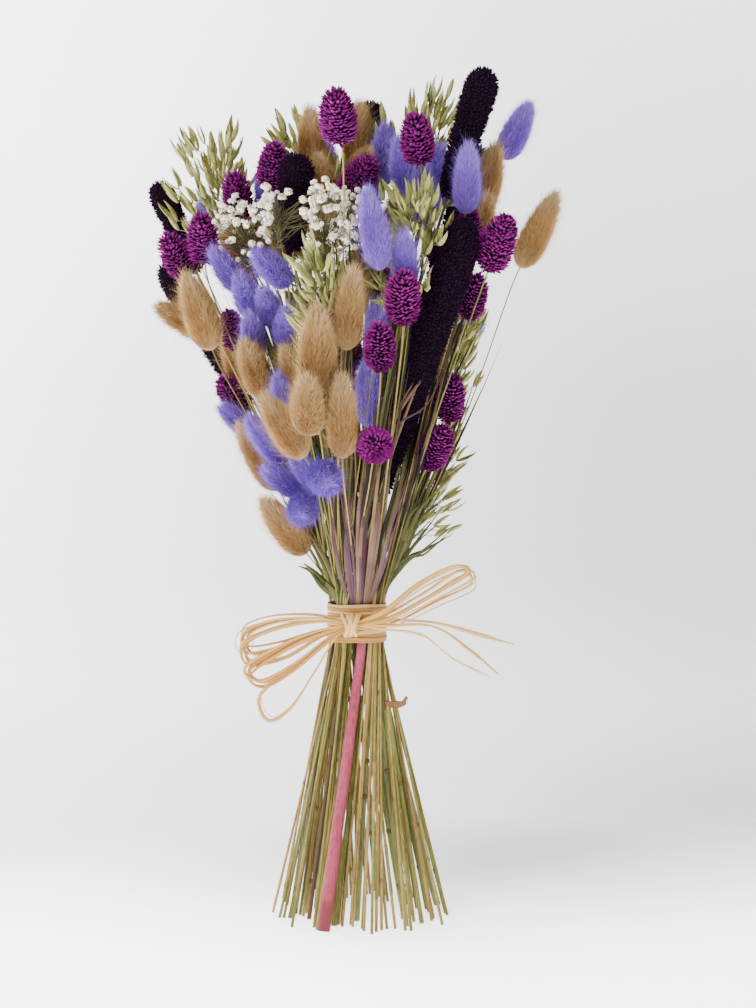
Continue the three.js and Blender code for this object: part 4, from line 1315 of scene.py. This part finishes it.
class BUNCH_OT_leaves(BunchOperator, bpy.types.Operator):
    """Build the dry leaves"""

    bl_idname = "bunch.leaves"
    bl_label = "Leaves"

    def build(self, colours, sizes):
        violet = blend_colours(colours.mauve_leaf[:], (0.07, 0.02, 0.10), 0.6)
        mauve = leaf_finish("mauve_leaf", violet, colours.mauve_leaf[:], (0.38, 0.25, 0.10))
        green = leaf_finish("green_leaf", (0.05, 0.05, 0.014), colours.green_leaf[:], (0.22, 0.20, 0.07))
        brown = leaf_finish("brown_scrap", (0.22, 0.09, 0.03), (0.36, 0.17, 0.07))
        for node, leaves in LEAVES.items():
            material = mauve if node == "mauve_leaves" else green
            surface = surface_of(node)
            draw = seeded(node)
            meshes = []
            for width, path in leaves:
                for share in LEAF_REPEATS:
                    shift = 0 if share == 1 else draw.uniform(-3, 3)
                    strayed = [
                        (x + shift, LEAF_START + (z - LEAF_START) * draw.uniform(0.9, 1.1))
                        for x, z in path
                    ]
                    meshes.append(leaf_mesh(node, width * share, strayed, surface, material, draw))
            if node == "small_leaves":
                meshes.extend(curl_meshes(brown, draw))
            finish_piece(node, meshes)


# ---- Raffia ----
WRAP_TURNS = 19
WRAP_STEPS = 72  # straight lengths in one turn
KNOT = Vector((-3, -19.6, 156)) * MM  # from the foot of the tie's axis
KNOT_SIZE = Vector((3.9, 4.4, 5.9)) * MM  # half the width, depth and height of the knot's lump
KNOT_WRAPS = 6
KNOT_STEPS = 36
# Where a strip of the band runs into the knot: [degrees round the band, millimetres outside it].
KNOT_ENDS = ((24, 0.9), (36, 0.3), (50, 0.1), (66, 0.0), (84, -0.8))
LOOP_POINTS, TAIL_POINTS = 56, 36
TAIL_END = (0.7, 0.6, 0.5, 0.4, 0.3, 0.2)  # how a tail's strips narrow to their ends
# Each loop and tail: how far it comes forward at its end, its path as [x, z] in millimetres from the
# tie and the table, and how many strips it has.
BOW_LOOPS = [
    (2, [(-20, 160), (-43, 159), (-58, 153), (-57, 143), (-41, 145), (-20, 152)], 6),
    (5, [(-18, 158), (-39, 155), (-57, 147), (-55, 136), (-37, 139), (-18, 150)], 6),
    (8, [(-16, 153), (-34, 146), (-54, 133), (-47, 126), (-32, 134), (-15, 148)], 4),
    (1, [(-16, 148), (-33, 134), (-48, 121), (-44, 108), (-33, 114), (-20, 134), (-11, 149)], 2),
    (2, [(14, 160), (36, 172), (56, 184), (62, 177), (44, 168), (18, 156)], 4),
    (5, [(14, 163), (32, 177), (50, 186), (57, 183), (40, 172), (16, 159)], 4),
]
BOW_TAILS = [
    (3, [(14, 156), (38, 156), (56, 144), (71, 131)], 2),
    (6, [(12, 154), (34, 151), (50, 139), (69, 130)], 2),
    (1, [(14, 158), (40, 157), (63, 151), (84, 145)], 1),
]


def from_axis(point):
    """The direction from the tie's axis to a point."""
    out = point - TIE
    out.z = 0
    return out.normalized()


def raffia_turn(course, width, crown, facing, material):
    """A strip of even width."""
    widths = [width] * len(course)
    return strip("turn", course, widths, material, crown=crown, thickness=0.3 * MM, facing=facing)


def wrap_turn(index, draw, material):
    """One turn of the band, a little tilted and wavy."""
    height = WRAP_LOW.z + WRAP_HEIGHT * (index + 0.5) / WRAP_TURNS + 0.4 * MM * (draw.random() - 0.5)
    radius = WRAP_RADIUS - 0.9 * MM + 0.55 * MM * draw.random()
    tilt = 0.8 * MM * (draw.random() - 0.5)
    phase = 6.3 * draw.random()
    course = []
    for k in range(WRAP_STEPS + 1):
        angle = phase + 2 * math.pi * k / WRAP_STEPS
        lift = tilt * math.sin(angle) + 0.25 * MM * math.sin(3 * angle + index)
        out = Vector((math.cos(angle), math.sin(angle), 0))
        course.append(Vector((TIE.x, TIE.y, height + lift)) + out * radius)
    width = (1.4 + 0.9 * draw.random()) * MM
    turn = raffia_turn(course, width, 0.1, from_axis, material)
    return marked(turn, shade=draw.random())


def wrap_lining(material):
    """A plain sleeve inside the turns, so that nothing shows between them."""
    radius = WRAP_RADIUS - MM
    bm = bmesh.new()
    bmesh.ops.create_cone(
        bm, cap_ends=False, segments=48, radius1=radius, radius2=radius, depth=WRAP_HEIGHT * 0.94
    )
    bmesh.ops.translate(bm, verts=bm.verts, vec=TIE)
    bmesh.ops.solidify(bm, geom=bm.faces, thickness=-0.3 * MM)
    bmesh.ops.recalc_face_normals(bm, faces=bm.faces)
    return marked(mesh_from(bm, "lining", material), shade=0.0)


class BUNCH_OT_raffia_wrap(BunchOperator, bpy.types.Operator):
    """Build the band of raffia round the tie"""

    bl_idname = "bunch.raffia_wrap"
    bl_label = "Raffia band"

    def build(self, colours, sizes):
        tone = blend_colours(colours.raffia[:], (0.22, 0.11, 0.03), 0.5)
        band = raffia_finish("raffia_band", tone, 0.8)
        draw = seeded("wrap")
        turns = [wrap_turn(i, draw, band) for i in range(WRAP_TURNS)]
        finish_piece("raffia_wrap", [*turns, wrap_lining(band)])


def bow_strip(forward, path, closed, spread, material, draw, sizes):
    """A strip from the knot along a path, strayed from it a little more the farther it goes. A closed
    one comes back to the knot, and an open one narrows to its end."""
    centre = Vector((TIE.x, TIE.y, 0)) + KNOT
    far = max(abs(x) for x, _ in path)
    shift = stray(draw) * spread * MM
    swell = 1 + 0.05 * draw.uniform(-1, 1)
    points = [centre.copy()]
    for x, z in path:
        share = abs(x) / far
        place = Vector((TIE.x + x * swell * MM, TIE.y + KNOT.y - forward * share * MM, z * MM))
        points.append(place + shift * share**0.7)
    if closed:
        points.append(centre.copy())
    count = LOOP_POINTS if closed else TAIL_POINTS
    width = sizes.strip * (0.4 + 1.2 * draw.random() ** 1.5)
    widths = [width * (0.75 + 0.25 * math.sin(9 * i / count + 40 * shift.x / MM)) for i in range(count)]
    if not closed:
        widths[-len(TAIL_END):] = [width * share for share in TAIL_END]
    twist = draw.uniform(-1.1, 1.1)
    course = through(points, count)
    strand = strip("strand", course, widths, material, crown=0.18, thickness=0.22 * MM, twist=twist)
    return marked(strand, shade=draw.random())


def knot_meshes(material, draw):
    """The knot: a lump that sits on the band, strips wound slantwise round it, and the ends of the
    band's strips, which run into it from both sides."""
    centre = Vector((TIE.x, TIE.y, 0)) + KNOT
    centre.y = TIE.y - WRAP_RADIUS - KNOT_SIZE.y + 0.5 * MM
    bm = bmesh.new()
    bmesh.ops.create_uvsphere(bm, u_segments=16, v_segments=10, radius=1)
    bmesh.ops.scale(bm, verts=bm.verts, vec=KNOT_SIZE)
    bmesh.ops.translate(bm, verts=bm.verts, vec=centre)
    meshes = [marked(mesh_from(bm, "lump", material), shade=0.3)]

    def outward(point):
        return (point - centre).normalized()

    for i in range(KNOT_WRAPS):
        slant = math.radians((66 if i % 3 else 112) + 8 * draw.random())
        across = Vector((math.cos(slant), 0, math.sin(slant))) * (KNOT_SIZE.z + 0.3 * MM)
        out = Vector((0, KNOT_SIZE.y + 0.3 * MM, 0))
        offset = Vector((i - (KNOT_WRAPS - 1) / 2, 0, 0)) * 0.9 * MM
        angles = [2 * math.pi * k / KNOT_STEPS for k in range(KNOT_STEPS + 1)]
        course = [centre + offset + across * math.cos(angle) + out * math.sin(angle) for angle in angles]
        turn = raffia_turn(course, 1.7 * MM, 0.2, outward, material)
        meshes.append(marked(turn, shade=draw.random()))
    for side in (-1, 1):
        for row in (-1, 0, 1):
            course = [Vector((centre.x + side * 0.5 * KNOT_SIZE.x, centre.y, centre.z + row * 1.2 * MM))]
            for degrees, lift in KNOT_ENDS:
                angle = math.radians(degrees)
                out = Vector((side * math.sin(angle), -math.cos(angle), 0)) * (WRAP_RADIUS + lift * MM)
                course.append(Vector((TIE.x, TIE.y, centre.z + row * 2.4 * MM)) + out)
            end = raffia_turn(through(course, 20), 1.9 * MM, 0.1, from_axis, material)
            meshes.append(marked(end, shade=draw.random()))
    return meshes


class BUNCH_OT_raffia_bow(BunchOperator, bpy.types.Operator):
    """Build the bow of raffia"""

    bl_idname = "bunch.raffia_bow"
    bl_label = "Raffia bow"

    def build(self, colours, sizes):
        silky = raffia_finish("raffia_strips", colours.raffia[:], 0.35)
        draw = seeded("bow")
        meshes = knot_meshes(silky, draw)
        for paths, closed, spread in ((BOW_LOOPS, True, 2.6), (BOW_TAILS, False, 1.2)):
            for forward, path, strands in paths:
                for _ in range(strands):
                    meshes.append(bow_strip(forward, path, closed, spread, silky, draw, sizes))
        finish_piece("raffia_bow", meshes)


# ---- Stage ----
CAMERA_AWAY = Vector((5, -1140, 0)) * MM  # from the tie
CAMERA_HEIGHT = 266 * MM
CAMERA_TURN = (math.radians(90 - 2.4), 0, -0.0054)  # it looks 2.4 degrees down
SENSOR_HEIGHT, FOCAL_LENGTH = 36, 76.96  # in millimetres
LAMPS = {  # place, size and power
    "key": (Vector((-0.9, -1.3, 1.5)), 0.8, 56),
    "fill": (Vector((1.4, -0.9, 0.7)), 1.5, 5),
}
LAMPS_AIM = Vector((0, 0, 0.25))
WORLD_STRENGTH = 0.2
PAINTED_SHADOW_PLACE = (TIE.x + 0.05, TIE.y + 0.06, 0)  # the middle of the soft shadow painted into the floor's glow, a little behind
# The floor, in metres: half its width, its front edge, its length unrolled, and its bend's radius.
FLOOR_SIDE, FLOOR_FRONT, FLOOR_LENGTH, FLOOR_RADIUS = 6, -3.0, 8, 0.8
FLOOR_BEND, WALL_FROM = 0.5, 0.65  # the shares of its length at which it turns up and is upright


def camera_and_light():
    """The photograph's view, and soft light from all round with a broad key from the upper left."""
    scene = bpy.context.scene
    camera_data = bpy.data.cameras.new("camera")
    camera_data.sensor_fit = "VERTICAL"
    camera_data.sensor_height = SENSOR_HEIGHT
    camera_data.lens = FOCAL_LENGTH
    camera = link(camera_data, "camera")
    camera.location = TIE + CAMERA_AWAY
    camera.location.z = CAMERA_HEIGHT
    camera.rotation_euler = CAMERA_TURN
    scene.camera = camera
    scene.world = bpy.data.worlds.new("soft_light")
    scene.world.use_nodes = True
    background = scene.world.node_tree.nodes["Background"]
    background.inputs["Color"].default_value = rgba(1.0)
    background.inputs["Strength"].default_value = WORLD_STRENGTH
    for name, (place, size, power) in LAMPS.items():
        light_data = bpy.data.lights.new(name, "AREA")
        light_data.size = size
        light_data.energy = power
        light = link(light_data, name)
        light.location = place
        light.rotation_euler = (LAMPS_AIM - place).to_track_quat("-Z", "Y").to_euler()


def backdrop_light(paper):
    """The light painted into the backdrop as its own glow: bright on the floor, dim where it turns up,
    brighter at the left, with a painted soft shadow a little behind the tie. Each row is read from one
    number: from where to where it changes, and its light at both ends."""
    place = paper.add("ShaderNodeTexCoord").outputs["Object"]
    axes = paper.add("ShaderNodeSeparateXYZ", (place,)).outputs
    far = paper.add("ShaderNodeVectorMath", (place, PAINTED_SHADOW_PLACE), operation="DISTANCE")
    total = None
    for row in (
        # Painted shadow: the floor glows less near the painted shadow's middle.
        (far.outputs["Value"], 0.03, 0.24, -1.3, 0.0),
        (axes["Y"], -0.45, -0.2, 0.0, 3.2),
        (axes["Y"], -0.15, 0.25, 0.0, -3.6),
        (axes["Y"], 0.4, 1.0, 0.0, 0.3),
        (axes["Z"], 0.05, 0.9, 0.2, 1.1),
        (axes["X"], -0.9, 0.4, 3.2, 0.5),
    ):
        light = paper.add("ShaderNodeMapRange", row, interpolation_type="SMOOTHSTEP").outputs[0]
        total = paper.add("ShaderNodeMath", (total, light)).outputs[0] if total else light
    return total


class BUNCH_OT_stage(BunchOperator, bpy.types.Operator):
    """Build the floor, the light and the camera"""

    bl_idname = "bunch.stage"
    bl_label = "Floor, light and camera"

    def build(self, colours, sizes):
        bm = bmesh.new()
        bmesh.ops.create_grid(bm, x_segments=2, y_segments=24, size=1)
        for vert in bm.verts:
            along = (vert.co.y + 1) / 2
            turned = min(1.0, max(0.0, (along - FLOOR_BEND) / (WALL_FROM - FLOOR_BEND)))
            turn = turned * math.pi / 2
            back = FLOOR_FRONT + min(along, FLOOR_BEND) * FLOOR_LENGTH + FLOOR_RADIUS * math.sin(turn)
            up = FLOOR_RADIUS * (1 - math.cos(turn)) + max(0.0, along - WALL_FROM) * FLOOR_LENGTH
            vert.co = Vector((vert.co.x * FLOOR_SIDE, back, up))
        paper = Finish("pale_paper", 0.9)
        # The paper glows with painted light and a painted shadow, and this glow also lights the bunch.
        paper.feed("Emission Strength", backdrop_light(paper))
        paper.shader.inputs["Emission Color"].default_value = rgba(1.0)
        grain = paper.ramp(paper.object_noise(300), (0.3, 0.90), (0.7, 0.92))
        floor = link(mesh_from(bm, "floor", paper.done(grain), smooth=True), "floor")
        camera_and_light()


class BUNCH_PT_panel(bpy.types.Panel):
    bl_label = "Dried flower bunch"
    bl_space_type = "VIEW_3D"
    bl_region_type = "UI"
    bl_category = "Bunch"

    def draw(self, context):
        for operator in OPERATORS:
            self.layout.operator(operator.bl_idname)


OPERATORS = (
    BUNCH_OT_stage,
    BUNCH_OT_tan_tails,
    BUNCH_OT_violet_tails,
    BUNCH_OT_canary_grass,
    BUNCH_OT_millet_spikes,
    BUNCH_OT_oats,
    BUNCH_OT_babys_breath,
    BUNCH_OT_leaves,
    BUNCH_OT_raffia_wrap,
    BUNCH_OT_raffia_bow,
)
CLASSES = (BunchColours, BunchSizes, *OPERATORS, BUNCH_PT_panel)


def register():
    for cls in CLASSES:
        bpy.utils.register_class(cls)
    bpy.types.Scene.bunch_colours = PointerProperty(type=BunchColours)
    bpy.types.Scene.bunch_sizes = PointerProperty(type=BunchSizes)


def unregister():
    del bpy.types.Scene.bunch_sizes
    del bpy.types.Scene.bunch_colours
    for cls in reversed(CLASSES):
        bpy.utils.unregister_class(cls)


def main():
    register()
    bpy.ops.bunch.stage()
    bpy.ops.bunch.tan_tails()
    bpy.ops.bunch.violet_tails()
    bpy.ops.bunch.canary_grass()
    bpy.ops.bunch.millet_spikes()
    bpy.ops.bunch.oats()
    bpy.ops.bunch.babys_breath()
    bpy.ops.bunch.leaves()
    bpy.ops.bunch.raffia_wrap()
    bpy.ops.bunch.raffia_bow()


if __name__ == "__main__":
    main()
